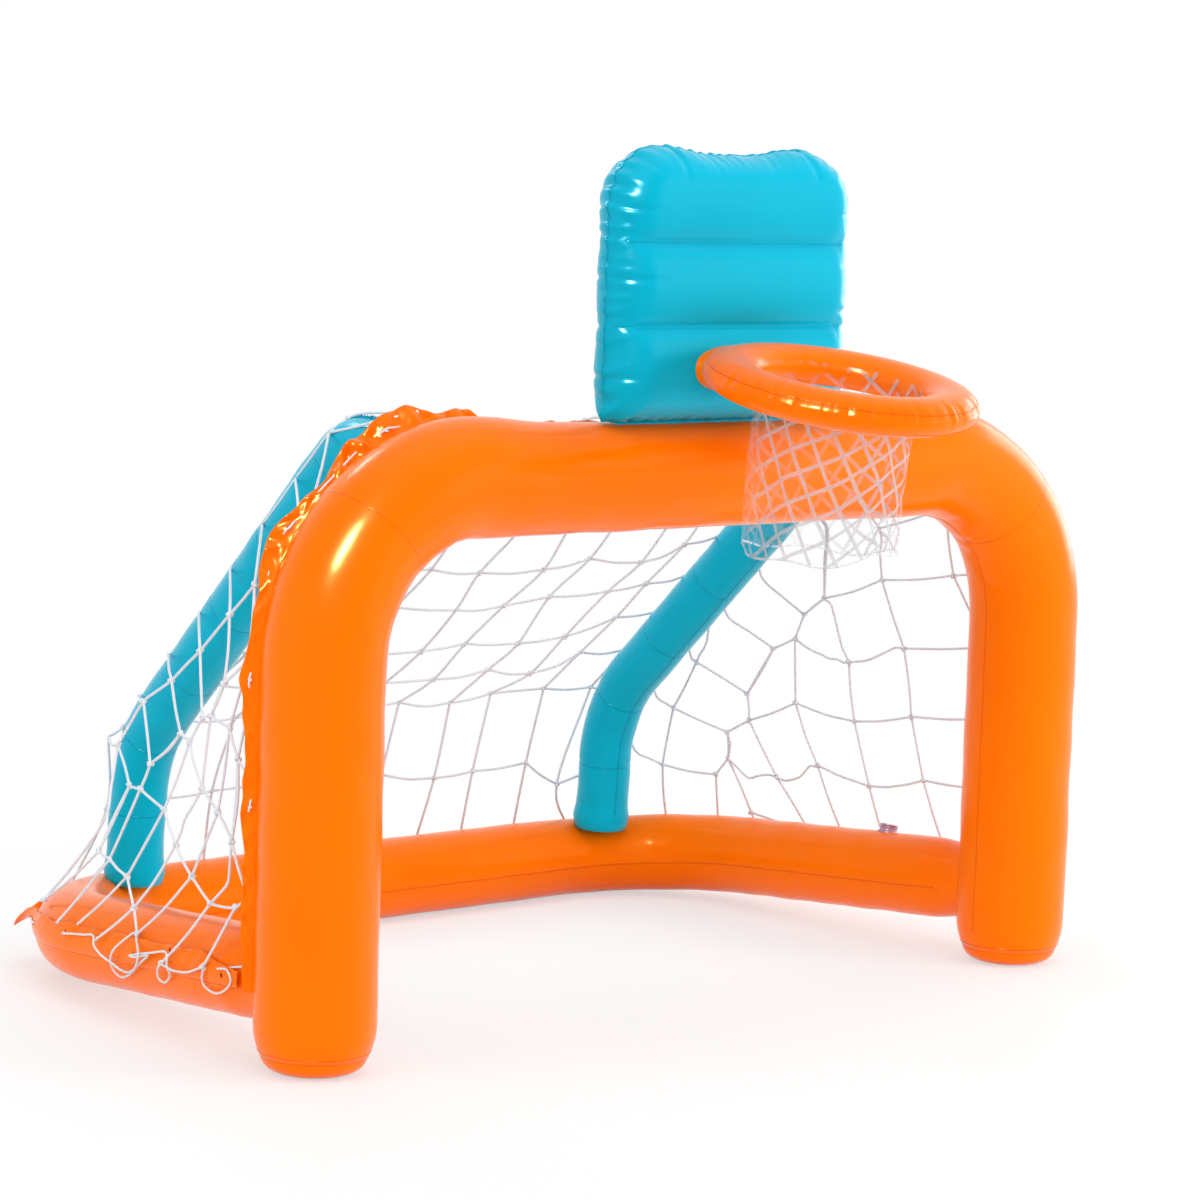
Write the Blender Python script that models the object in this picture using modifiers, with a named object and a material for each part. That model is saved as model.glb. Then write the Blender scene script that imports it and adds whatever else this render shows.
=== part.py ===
"""Inflatable garden goal with a tube frame, a string net, a backboard and a hoop with a sleeve.

Metres, +Z up, +Y towards the back of the goal, the origin on the ground under the middle.
Each air chamber, film strip, net panel, cord and valve part is its own closed solid.
"""

import math

import bmesh
import bpy
from mathutils import Matrix, Vector

# Clearance that touching pieces keep.
GAP = 0.0003

# Front arch: an inverted U of inflated tube.
LEG_SPACING = 1.325
ARCH_R = 0.0815
ARCH_AXIS_Z = 0.772
ARCH_BEND = 0.24
ARCH_SIDES = 24
SADDLE_DIP = 0.012
SADDLE_FLAT = 0.25
SADDLE_FADE = 0.44
LEG_END_Z = 0.022
LEG_END_R = 0.0715
FOOT_FLAT_R = 0.040

# Base tube: a U that lies on the ground behind the arch.
BASE_R = 0.062
BASE_DEPTH = 0.767
BASE_BACK_WIDTH = 1.24
BASE_BEND = 0.24
BASE_FRONT_Z = 0.115
BASE_NECK = 0.90
BASE_SIDES = 16

# Struts: tubes from the back of the arch down to the back of the base.
STRUT_R = 0.042
STRUT_INSET = 0.1955
STRUT_FOOT_INSET = 0.163
STRUT_FOOT_AHEAD = 0.047
STRUT_FOOT_Z = 0.106
STRUT_BEND_AHEAD = 0.059
STRUT_BEND_Z = 0.318
STRUT_KNEE_Y = 0.196
STRUT_TOP_Z = 0.789
STRUT_BEND = 0.15
STRUT_SIDES = 16

# Backboard: an air cushion welded along its lower edge to the top of the arch.
BOARD_WIDTH = 0.432
BOARD_HEIGHT = 0.374
BOARD_THICK = 0.104
BOARD_CORNER = 0.085
BOARD_EDGE = 0.052
BOARD_Y = -0.020
BOARD_WELDS = (0.350, 0.653)
BOARD_WELD_DEPTH = 0.30
BOARD_WELD_WIDTH = 0.010
STRIP_HEIGHT = 0.004
STRIP_THICK = 0.0012
STRIP_LENGTH = 0.380

# Hoop: an inflated ring with a wide neck that is welded to the backboard.
HOOP_R = 0.150
HOOP_TUBE_A = 0.039
HOOP_TUBE_B = 0.026
HOOP_Y = -0.260
HOOP_Z = 0.900
HOOP_TILT = math.radians(10.5)
HOOP_SIDES = 40
HOOP_TUBE_SIDES = 12
NECK_WIDTH = 0.190
NECK_THICK = 0.044
HOOP_HINGE_Z = 0.912

# Basket: a clear film sleeve that hangs from the inside of the ring.
SLEEVE_LENGTH = 0.225
SLEEVE_WALL = 0.0010
SLEEVE_TAPER = 0.95
SLEEVE_DRIFT = 0.020

# Film flaps with eyelets, which carry the net.
FLAP_THICK = 0.0010
FLAP_ANGLE = math.radians(38)
FLAP_SEAT = 0.0008
FLAP_LEG_WIDTH = 0.018
FLAP_CORNER_WIDTH = 0.045
FLAP_END_WIDTH = 0.010
FLAP_START_Z = 0.100
RUFFLE = 0.005
RUFFLE_PITCH = 0.110
ARCH_FLAP_STEPS = 82
BASE_FLAP_STEPS = 72
EYELET_R = 0.0050
EYELET_SPACING = 0.235
ARCH_EYELETS = 0.45
BASE_EYELETS = 0.36
BASE_FLAP_LOW = math.radians(-10)
BASE_FLAP_HIGH = math.radians(26)
BASE_FLAP_LIFT = 0.008
BASE_FLAP_START = 0.135
TAB_LENGTH = 0.034
TAB_SPREAD = 0.030

# Net: knotted string in panels between the flaps and the struts.
STRING = 0.0042
NET_LIFT = 0.0068
NET_EDGE = 0.75
NET_FOOT = 0.125
NET_WRAP = 0.0505
NET_WRAP_ANGLE = math.radians(37)
NET_SEAM = 0.0046
NET_RISE = 0.0022
NET_SAG = 0.045
NET_COLUMNS = 9
ROOF_STEPS = 1
SLOPE_STEPS = 7
BACK_STEPS = 2
SIDE_COLUMNS = 6
CORD_R = 0.0015

# Valves: a collar on the film and a plug with a pull lug.
BIG_VALVE = {"collar_r": 0.0165, "height": 0.0095, "bore_r": 0.0115, "plug_depth": 0.0060, "steps": 16}
SMALL_VALVE = {"collar_r": 0.0095, "height": 0.0085, "bore_r": 0.0050, "plug_depth": 0.0055, "steps": 12}
PLUG_CLEARANCE = 0.0005
PLUG_HEAD = 0.0022
LUG_LENGTH = 0.0050
BASE_VALVE_Y = 0.265
BASE_VALVE_LEAN = math.radians(12)
ARCH_VALVE_Z = 0.360
STRUT_VALVE_Z = 0.215
BOARD_VALVE_X = 0.110
BOARD_VALVE_UP = 0.150

# Worked out from the sizes above.
HALF = LEG_SPACING / 2
BASE_HALF = BASE_BACK_WIDTH / 2
STRUT_X = HALF - STRUT_INSET
STRUT_FOOT_X = BASE_HALF - STRUT_FOOT_INSET
STRUT_FOOT_Y = BASE_DEPTH - STRUT_FOOT_AHEAD
STRUT_BEND_Y = BASE_DEPTH - STRUT_BEND_AHEAD
SADDLE_SINK = SADDLE_DIP / 2
SADDLE_TOP_Z = ARCH_AXIS_Z + ARCH_R - SADDLE_DIP
HOOP_REACH = HOOP_R * math.cos(HOOP_TILT) + math.hypot(
    HOOP_TUBE_A * math.cos(HOOP_TILT), HOOP_TUBE_B * math.sin(HOOP_TILT)
)
FRONT_REACH = HOOP_Y - HOOP_REACH
BACK_REACH = BASE_DEPTH + BASE_R + BASE_FLAP_LIFT
ARCH_Y = -(FRONT_REACH + BACK_REACH) / 2

PARTS = "inflatable_goal"
CUTTERS = "cutters"


def clear_scene():
    """Take every object and collection away."""
    for obj in list(bpy.data.objects):
        bpy.data.objects.remove(obj, do_unlink=True)
    for collection in list(bpy.data.collections):
        bpy.data.collections.remove(collection)
    for name in (PARTS, CUTTERS):
        bpy.context.scene.collection.children.link(bpy.data.collections.new(name))


def film(name, colour, roughness, alpha=1.0):
    """A plastic finish with its colour as linear red, green and blue."""
    material = bpy.data.materials.new(name)
    material.use_nodes = True
    shader = material.node_tree.nodes["Principled BSDF"]
    shader.inputs["Base Color"].default_value = (*colour, 1.0)
    shader.inputs["Roughness"].default_value = roughness
    shader.inputs["Metallic"].default_value = 0.0
    shader.inputs["Alpha"].default_value = alpha
    return material


def finishes():
    """The finishes of the goal by name."""
    return {
        "orange": film("orange_pvc_film", (1.0, 0.21, 0.0), 0.25),
        "cyan": film("cyan_pvc_film", (0.0, 0.48, 0.65), 0.25),
        "clear": film("clear_pvc_film", (0.80, 0.82, 0.84), 0.15, 0.35),
        "string": film("white_string", (0.72, 0.72, 0.74), 0.75),
        "valve": film("soft_clear_pvc", (0.62, 0.42, 0.50), 0.30, 0.80),
    }


def link(obj, collection):
    """Put an object in the collection of parts or of cutters."""
    bpy.data.collections[collection].objects.link(obj)
    if collection == CUTTERS:
        obj.hide_render = True
        obj.display_type = "WIRE"
    return obj


def finish(obj, material):
    """Give a mesh object its material and smooth shading up to 40 degrees."""
    obj.data.materials.clear()
    obj.data.materials.append(material)
    obj.data.shade_smooth()
    obj.data.set_sharp_from_angle(angle=math.radians(40))
    return obj


def rounded_route(corners, radii, steps):
    """Points along straight runs with each inner corner turned as an arc."""
    points = [Vector(corners[0])]
    for before, corner, after, radius in zip(corners, corners[1:], corners[2:], radii):
        corner = Vector(corner)
        back = (Vector(before) - corner).normalized()
        ahead = (Vector(after) - corner).normalized()
        half = back.angle(ahead) / 2
        centre = corner + (back + ahead).normalized() * (radius / math.sin(half))
        start = corner + back * (radius / math.tan(half)) - centre
        end = corner + ahead * (radius / math.tan(half)) - centre
        sweep = start.angle(end)
        for step in range(steps + 1):
            share = step / steps
            turn = math.sin((1 - share) * sweep) * start + math.sin(share * sweep) * end
            points.append(centre + turn / math.sin(sweep))
    points.append(Vector(corners[-1]))
    return points


def divided(points, longest):
    """The same route with long runs cut into steps no longer than the given length."""
    out = [points[0]]
    for a, b in zip(points, points[1:]):
        count = max(1, math.ceil((b - a).length / longest))
        out += [a.lerp(b, k / count) for k in range(1, count + 1)]
    return out


def tube(name, points, radius, sides, collection=PARTS, widths=None, grow=0.0, caps=True):
    """A mesh tube along a route, where widths gives each point's share of the radius."""
    curve = bpy.data.curves.new(name, "CURVE")
    curve.dimensions = "3D"
    curve.bevel_depth = radius
    curve.bevel_resolution = (sides - 4) // 2
    curve.use_fill_caps = caps
    spline = curve.splines.new("POLY")
    spline.points.add(len(points) - 1)
    for index, point in enumerate(points):
        share = widths[index] if widths else 1.0
        spline.points[index].co = (*point, 1.0)
        spline.points[index].radius = share + grow / radius
    source = bpy.data.objects.new(name + "_route", curve)
    bpy.context.scene.collection.objects.link(source)
    bpy.context.view_layer.update()
    depsgraph = bpy.context.evaluated_depsgraph_get()
    mesh = bpy.data.meshes.new_from_object(source.evaluated_get(depsgraph))
    mesh.name = name
    weld(mesh)
    obj = link(bpy.data.objects.new(name, mesh), collection)
    obj.matrix_world = source.matrix_world
    bpy.data.objects.remove(source, do_unlink=True)
    return obj


def weld(mesh):
    """Join the loose caps of a tube to its wall and turn its faces outwards."""
    bm = bmesh.new()
    bm.from_mesh(mesh)
    bmesh.ops.remove_doubles(bm, verts=bm.verts, dist=0.00005)
    bmesh.ops.recalc_face_normals(bm, faces=bm.faces)
    bm.to_mesh(mesh)
    bm.free()


def cut(obj, cutter):
    """Take the cutter's space out of a piece."""
    step = obj.modifiers.new("cut_" + cutter.name, "BOOLEAN")
    step.operation = "DIFFERENCE"
    step.solver = "EXACT"
    step.object = cutter


def turned(name, profile, steps, collection=PARTS):
    """A turned solid from a profile of radius and height, top to bottom on its outer side."""
    mesh = bpy.data.meshes.new(name)
    bm = bmesh.new()
    verts = [bm.verts.new((radius, 0.0, height)) for radius, height in profile]
    for a, b in zip(verts, verts[1:]):
        bm.edges.new((a, b))
    if profile[0][0] > 0:
        bm.edges.new((verts[-1], verts[0]))
    bm.to_mesh(mesh)
    bm.free()
    obj = link(bpy.data.objects.new(name, mesh), collection)
    screw = obj.modifiers.new("turn", "SCREW")
    screw.axis = "Z"
    screw.steps = steps
    screw.render_steps = steps
    screw.use_merge_vertices = True
    screw.merge_threshold = 0.00005
    return obj


def surface(name, columns, rows, place):
    """A grid of columns and rows whose points are placed by a function of their two shares."""
    mesh = bpy.data.meshes.new(name)
    bm = bmesh.new()
    bmesh.ops.create_grid(bm, x_segments=columns, y_segments=rows, size=0.5)
    for vert in bm.verts:
        vert.co = place(vert.co.x + 0.5, vert.co.y + 0.5)
    bm.to_mesh(mesh)
    bm.free()
    return link(bpy.data.objects.new(name, mesh), PARTS)


def pivot_at(obj, point):
    """Move a piece's origin to a point and leave its shape in place."""
    turn = obj.rotation_euler.to_matrix()
    shift = turn.inverted() @ (obj.location - point)
    obj.data.transform(Matrix.Translation(shift))
    obj.location = point


def smooth_step(value):
    """A smooth rise from 0 to 1."""
    value = min(max(value, 0.0), 1.0)
    return value * value * (3 - 2 * value)


# The front arch and its end caps.


def arch_corners():
    """The corners of the arch's centre line."""
    return [
        (-HALF, ARCH_Y, LEG_END_Z),
        (-HALF, ARCH_Y, ARCH_AXIS_Z),
        (HALF, ARCH_Y, ARCH_AXIS_Z),
        (HALF, ARCH_Y, LEG_END_Z),
    ]


def leg_share(z):
    """The leg's radius near its lower end, as a share of the tube's."""
    rounding = 0.045
    fall = min(max((LEG_END_Z + rounding - z) / rounding, 0.0), 1.0)
    end = LEG_END_R / ARCH_R
    return 1 - (1 - end) * fall**2.2


def arch_route():
    """The arch's centre line and its widths, with rounded leg ends and the sunk top."""
    ends = [(0.0, 0.012), (0.012, 0.026), (0.026, 0.045)]
    points = rounded_route(arch_corners(), (ARCH_BEND, ARCH_BEND), 9)
    low = [Vector((-HALF, ARCH_Y, LEG_END_Z + top)) for _, top in ends]
    top_left, top_right = points[10], points[11]
    span = [top_left.lerp(top_right, k / 10) for k in range(1, 10)]
    mirrored = [Vector((HALF, ARCH_Y, point.z)) for point in reversed(low)]
    route = [points[0], *low, *points[1:11], *span, *points[11:-1], *mirrored, points[-1]]
    widths = []
    for point in route:
        sunk = 1 - smooth_step((abs(point.x) - SADDLE_FLAT) / (SADDLE_FADE - SADDLE_FLAT))
        if point.z < ARCH_AXIS_Z - ARCH_BEND:
            sunk = 0.0
        widths.append(leg_share(point.z) - sunk * SADDLE_SINK / ARCH_R)
        point.z -= sunk * SADDLE_SINK
    return route, widths


def front_arch(material):
    """The front tube."""
    route, widths = arch_route()
    return finish(tube("front_arch", route, ARCH_R, ARCH_SIDES, widths=widths), material)


def arch_space():
    """The arch with its clearance, for pieces that meet it."""
    route, widths = arch_route()
    return tube("arch_space", route, ARCH_R, ARCH_SIDES, CUTTERS, widths, GAP)


def leg_caps(material):
    """The welded end caps on which the arch stands."""
    top = LEG_END_Z - GAP
    edge = LEG_END_R - GAP
    profile = [(0.0, top), (edge, top)]
    for share in (0.35, 0.7, 1.0):
        angle = share * math.pi / 2
        profile.append((
            FOOT_FLAT_R + (edge - FOOT_FLAT_R) * math.cos(angle),
            top * (1 - math.sin(angle)),
        ))
    profile.append((0.0, 0.0))
    for name, side in (("leg_cap_left", -1), ("leg_cap_right", 1)):
        cap = turned(name, profile, ARCH_SIDES)
        cap.location = (side * HALF, ARCH_Y, 0)
        finish(cap, material)


# The base tube and the struts.


def base_corners():
    """The corners of the base tube's centre line."""
    return [
        (-HALF, ARCH_Y, BASE_FRONT_Z),
        (-BASE_HALF, ARCH_Y + BASE_DEPTH, BASE_R),
        (BASE_HALF, ARCH_Y + BASE_DEPTH, BASE_R),
        (HALF, ARCH_Y, BASE_FRONT_Z),
    ]


def base_route():
    """The base tube's centre line and its widths, drawn in where it meets the legs."""
    route = divided(rounded_route(base_corners(), (BASE_BEND, BASE_BEND), 7), 0.14)
    widths = []
    for point in route:
        away = (point.y - ARCH_Y - ARCH_R) / 0.07
        widths.append(BASE_NECK + (1 - BASE_NECK) * smooth_step(away))
    return route, widths


def base_tube(material, arch):
    """The tube on the ground, cut to the legs."""
    route, widths = base_route()
    obj = tube("base_tube", route, BASE_R, BASE_SIDES, widths=widths)
    cut(obj, arch)
    return finish(obj, material)


def base_space():
    """The base tube with its clearance, for pieces that meet it."""
    route, widths = base_route()
    return tube("base_space", route, BASE_R, BASE_SIDES, CUTTERS, widths, GAP)


def strut_corners(x):
    """The corners of a strut's centre line, from its foot to the arch."""
    return [
        (x * STRUT_FOOT_X / STRUT_X, ARCH_Y + STRUT_FOOT_Y, STRUT_FOOT_Z),
        (x * STRUT_FOOT_X / STRUT_X, ARCH_Y + STRUT_BEND_Y, STRUT_BEND_Z),
        (x, ARCH_Y + STRUT_KNEE_Y, STRUT_TOP_Z),
        (x, ARCH_Y, STRUT_TOP_Z),
    ]


def strut_route(x):
    """A strut's centre line."""
    return rounded_route(strut_corners(x), (STRUT_BEND, STRUT_BEND), 6)


def struts(material, arch, base):
    """Both struts, cut to the arch and to the base tube."""
    for name, side in (("strut_left", -1), ("strut_right", 1)):
        obj = tube(name, strut_route(side * STRUT_X), STRUT_R, STRUT_SIDES)
        cut(obj, arch)
        cut(obj, base)
        finish(obj, material)


# The backboard.


def board_foot():
    """The line on which the backboard turns, in the middle of its lower edge."""
    drop = (ARCH_R - SADDLE_SINK) - math.sqrt((ARCH_R - SADDLE_SINK) ** 2 - BOARD_Y**2)
    return Vector((0, ARCH_Y + BOARD_Y, SADDLE_TOP_Z - drop + STRIP_HEIGHT + 2 * GAP))


def edge_spaced(share):
    """Shares that crowd towards both ends, so that a rounded edge has enough points."""
    even = 2 * share - 1
    return 0.5 + 0.5 * math.copysign(1 - (1 - abs(even)) ** 1.6, even)


def board_rows():
    """The heights of the cushion's rows as shares, with three rows at each cross weld."""
    half_weld = BOARD_WELD_WIDTH / BOARD_HEIGHT
    rows = [0.0, 0.02, 0.06, 0.13, 0.24]
    for weld_share in BOARD_WELDS:
        rows += [weld_share - half_weld, weld_share, weld_share + half_weld]
    rows += [0.53, 0.79, 0.87, 0.93, 0.97, 0.992, 1.0]
    return sorted(rows)


def board_half_width(height):
    """The cushion's half width at a height over its lower edge, with round upper corners."""
    half = BOARD_WIDTH / 2
    over = height - (BOARD_HEIGHT - BOARD_CORNER)
    if over <= 0:
        return half
    return half - BOARD_CORNER + math.sqrt(max(BOARD_CORNER**2 - over**2, 0.0))


def board_bulge(x, height):
    """How far the front film stands out from the seam plane."""
    sides = min(max((board_half_width(height) - abs(x)) / BOARD_EDGE, 0.0), 1.0)
    ends = min(max(min(height, BOARD_HEIGHT - height) / BOARD_EDGE, 0.0), 1.0)
    rise = math.sqrt(1 - (1 - sides) ** 2) * math.sqrt(1 - (1 - ends) ** 2)
    welds = 1.0
    for share in BOARD_WELDS:
        distance = (height - share * BOARD_HEIGHT) / BOARD_WELD_WIDTH
        welds -= BOARD_WELD_DEPTH * math.exp(-(distance**2)) * sides
    return BOARD_THICK / 2 * rise * welds


def board_shape(name, grow):
    """The cushion: its front film mirrored in the seam plane, with an added clearance."""
    rows = board_rows()
    columns = 14
    mesh = bpy.data.meshes.new(name)
    bm = bmesh.new()
    bmesh.ops.create_grid(bm, x_segments=columns, y_segments=len(rows) - 1, size=0.5)
    for vert in bm.verts:
        height = rows[round((vert.co.y + 0.5) * (len(rows) - 1))] * BOARD_HEIGHT
        x = (2 * edge_spaced(vert.co.x + 0.5) - 1) * board_half_width(height)
        edge = vert.is_boundary
        bulge = 0.0 if edge else board_bulge(x, height) + grow
        spread = 1 + 2 * grow / BOARD_WIDTH
        vert.co = (x * spread, -bulge, height)
    for corner in [vert for vert in bm.verts if len(vert.link_edges) == 2]:
        face = corner.link_faces[0]
        beside = {edge.other_vert(corner) for edge in corner.link_edges}
        across = [vert for vert in face.verts if vert is not corner and vert not in beside]
        bmesh.ops.connect_verts(bm, verts=[corner, *across])
    bm.to_mesh(mesh)
    bm.free()
    obj = link(bpy.data.objects.new(name, mesh), PARTS if grow == 0 else CUTTERS)
    mirror = obj.modifiers.new("back_film", "MIRROR")
    mirror.use_axis = (False, True, False)
    mirror.merge_threshold = 0.00005
    obj.location = board_foot()
    return obj


def backboard(material):
    """The cushion that the ball is thrown at."""
    obj = board_shape("backboard", 0.0)
    bm = bmesh.new()
    bm.from_mesh(obj.data)
    bmesh.ops.recalc_face_normals(bm, faces=bm.faces)
    bm.to_mesh(obj.data)
    bm.free()
    return finish(obj, material)


def weld_strip(material, arch):
    """The film strip that joins the backboard's lower seam to the arch."""
    foot = board_foot()
    mesh = bpy.data.meshes.new("backboard_weld_strip")
    bm = bmesh.new()
    deep = 0.010
    size = Vector((STRIP_LENGTH, STRIP_THICK, STRIP_HEIGHT + deep))
    middle = Vector((0, 0, -GAP - size.z / 2))
    bmesh.ops.create_cube(bm, size=1, matrix=Matrix.Translation(middle) @ Matrix.Diagonal((*size, 1)))
    bm.to_mesh(mesh)
    bm.free()
    obj = link(bpy.data.objects.new("backboard_weld_strip", mesh), PARTS)
    obj.location = foot
    cut(obj, arch)
    return finish(obj, material)


# The hoop and its sleeve.


def hoop_centre():
    """The middle of the ring."""
    return Vector((0, ARCH_Y + HOOP_Y, HOOP_Z))


def hoop_hinge():
    """The line on which the hoop tips, at the lower edge of its neck on the backboard."""
    return Vector((0, board_foot().y - BOARD_THICK / 2, HOOP_HINGE_Z))


def ring_shape(name, collection, grow=0.0):
    """A torus of oval section, tilted down to the front."""
    bpy.ops.mesh.primitive_torus_add(
        major_segments=HOOP_SIDES,
        minor_segments=HOOP_TUBE_SIDES,
        major_radius=HOOP_R,
        minor_radius=HOOP_TUBE_A + grow,
    )
    obj = bpy.context.object
    obj.name = name
    obj.data.name = name
    obj.data.transform(Matrix.Diagonal((1, 1, (HOOP_TUBE_B + grow) / (HOOP_TUBE_A + grow), 1)))
    for holder in list(obj.users_collection):
        holder.objects.unlink(obj)
    link(obj, collection)
    obj.location = hoop_centre()
    obj.rotation_euler = (HOOP_TILT, 0, 0)
    return obj


def neck_shape():
    """The wide flat neck between the ring and the backboard, in the ring's own frame."""
    mesh = bpy.data.meshes.new("neck")
    bm = bmesh.new()
    start = HOOP_R - HOOP_TUBE_A / 4
    length = abs(HOOP_Y) - start
    bmesh.ops.create_cone(
        bm, cap_ends=True, segments=18, radius1=0.5, radius2=0.5, depth=length,
        matrix=Matrix.Translation((0, start + length / 2, 0))
        @ Matrix.Diagonal((NECK_WIDTH, 1, NECK_THICK, 1))
        @ Matrix.Rotation(math.pi / 2, 4, "X"),
    )
    bmesh.ops.recalc_face_normals(bm, faces=bm.faces)
    bm.to_mesh(mesh)
    bm.free()
    obj = link(bpy.data.objects.new("neck", mesh), CUTTERS)
    obj.location = hoop_centre()
    obj.rotation_euler = (HOOP_TILT, 0, 0)
    return obj


def hoop_ring(material, board):
    """The ring and its neck as one chamber, cut to the backboard's front film."""
    obj = ring_shape("hoop_ring", PARTS)
    join = obj.modifiers.new("neck", "BOOLEAN")
    join.operation = "UNION"
    join.solver = "EXACT"
    join.object = neck_shape()
    cut(obj, board)
    pivot_at(obj, hoop_hinge())
    return finish(obj, material)


def sleeve_route():
    """The sleeve's middle line, square to the ring at its top and upright lower down."""
    centre = hoop_centre()
    points = []
    for step in range(6):
        share = step / 5
        drift = SLEEVE_DRIFT * (1 - (1 - share) ** 2)
        points.append(centre + Vector((0, drift, -SLEEVE_LENGTH * share)))
    return points


def basket_sleeve(material):
    """The open film sleeve."""
    radius = HOOP_R - HOOP_TUBE_A - 2 * GAP - SLEEVE_WALL / 2
    points = sleeve_route()
    widths = [1 + (SLEEVE_TAPER - 1) * k / (len(points) - 1) for k in range(len(points))]
    obj = tube("basket_sleeve", points, radius, 24, widths=widths, caps=False)
    wall = obj.modifiers.new("wall", "SOLIDIFY")
    wall.thickness = SLEEVE_WALL
    wall.offset = 0
    pivot_at(obj, hoop_hinge())
    return finish(obj, material)


# The film flaps.


def along(points):
    """The distance of each point from the start of its route."""
    distance = [0.0]
    for a, b in zip(points, points[1:]):
        distance.append(distance[-1] + (b - a).length)
    return distance


def sample(points, distance, s):
    """The point and the direction at a distance along a route."""
    for index in range(len(points) - 2, -1, -1):
        if s >= distance[index]:
            break
    a, b = points[index], points[index + 1]
    share = (s - distance[index]) / (distance[index + 1] - distance[index])
    return a.lerp(b, share), (b - a).normalized()


def eyelet_places(length):
    """Distances of the eyelets along a flap, evenly spaced from its middle."""
    count = int(length / EYELET_SPACING)
    first = (length - (count - 1) * EYELET_SPACING) / 2
    return [first + k * EYELET_SPACING for k in range(count)]


class Flap:
    """A strip of film along a tube, built from columns across it and two rows along it."""

    steps = 1
    eyelets = 0.5

    def column(self, index, share):
        """A point of the film's middle surface at a column."""
        return self.place(self.length * index / self.steps, share)

    def on_film(self, s, share, lift=0.0):
        """A point at a distance and a share of the width, lifted off the flat facet there."""
        index = min(max(int(s / self.length * self.steps), 0), self.steps - 1)
        part = s / self.length * self.steps - index
        row = 0.0 if share < 0.5 else 0.5
        low = self.column(index, row).lerp(self.column(index + 1, row), part)
        high = self.column(index, row + 0.5).lerp(self.column(index + 1, row + 0.5), part)
        ahead = self.column(index + 1, row + 0.25) - self.column(index, row + 0.25)
        normal = ahead.cross(high - low).normalized()
        if normal.dot(self.face(s)) < 0:
            normal = -normal
        return low.lerp(high, (share - row) * 2) + normal * lift

    def reach(self, x):
        """The distance along the film at which it is x away from the middle, on the left."""
        low, high = 0.3 * self.length / 2, self.length / 2
        for _ in range(30):
            middle = (low + high) / 2
            if -self.on_film(middle, NET_EDGE).x > x:
                low = middle
            else:
                high = middle
        return low

    def edge(self, s, side, share, lift=0.0):
        """A point of the film by its distance from the end on the given side."""
        return self.on_film(s if side < 0 else self.length - s, share, lift)


class ArchFlap(Flap):
    """The film strip round the outside of the arch, at its back."""

    steps = ARCH_FLAP_STEPS
    eyelets = ARCH_EYELETS

    def __init__(self):
        corners = arch_corners()
        corners[0] = (-HALF, ARCH_Y, FLAP_START_Z)
        corners[3] = (HALF, ARCH_Y, FLAP_START_Z)
        self.points = divided(rounded_route(corners, (ARCH_BEND, ARCH_BEND), 18), 0.03)
        self.distance = along(self.points)
        self.length = self.distance[-1]

    def frame(self, s):
        """The centre line's point, the radial direction and the film's own normal."""
        point, forward = sample(self.points, self.distance, s)
        outward = forward.cross(Vector((0, 1, 0))).normalized()
        if outward.dot(point - Vector((0, ARCH_Y, ARCH_AXIS_Z - ARCH_BEND))) < 0:
            outward = -outward
        radial = outward * math.cos(FLAP_ANGLE) + Vector((0, 1, 0)) * math.sin(FLAP_ANGLE)
        normal = Vector((0, 1, 0)) * math.cos(FLAP_ANGLE) - outward * math.sin(FLAP_ANGLE)
        return point, radial, normal

    def face(self, s):
        """The way the film's back faces."""
        return self.frame(s)[2]

    def bend_share(self, point):
        """How far a point lies into a corner, from 0 on a leg or the top to 1 in a bend."""
        side = smooth_step((abs(point.x) - (HALF - ARCH_BEND)) / (ARCH_BEND / 2) + 0.5)
        up = smooth_step((point.z - (ARCH_AXIS_Z - ARCH_BEND)) / (ARCH_BEND / 2) + 0.5)
        return side * up

    def width(self, s, point):
        """The film's width, narrow at its ends and widest in the bends."""
        bend = self.bend_share(point)
        full = FLAP_LEG_WIDTH + (FLAP_CORNER_WIDTH - FLAP_LEG_WIDTH) * bend
        end = smooth_step(min(s, self.length - s) / 0.12)
        return FLAP_END_WIDTH + (full - FLAP_END_WIDTH) * end

    def place(self, s, share):
        """A point of the film at a share of its width."""
        point, radial, normal = self.frame(s)
        root = ARCH_R + FLAP_SEAT
        wave = RUFFLE * self.bend_share(point) * math.sin(2 * math.pi * s / RUFFLE_PITCH)
        wave *= max(2 * share - 1, 0.0)
        return point + radial * (root + self.width(s, point) * share) + normal * wave


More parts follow.
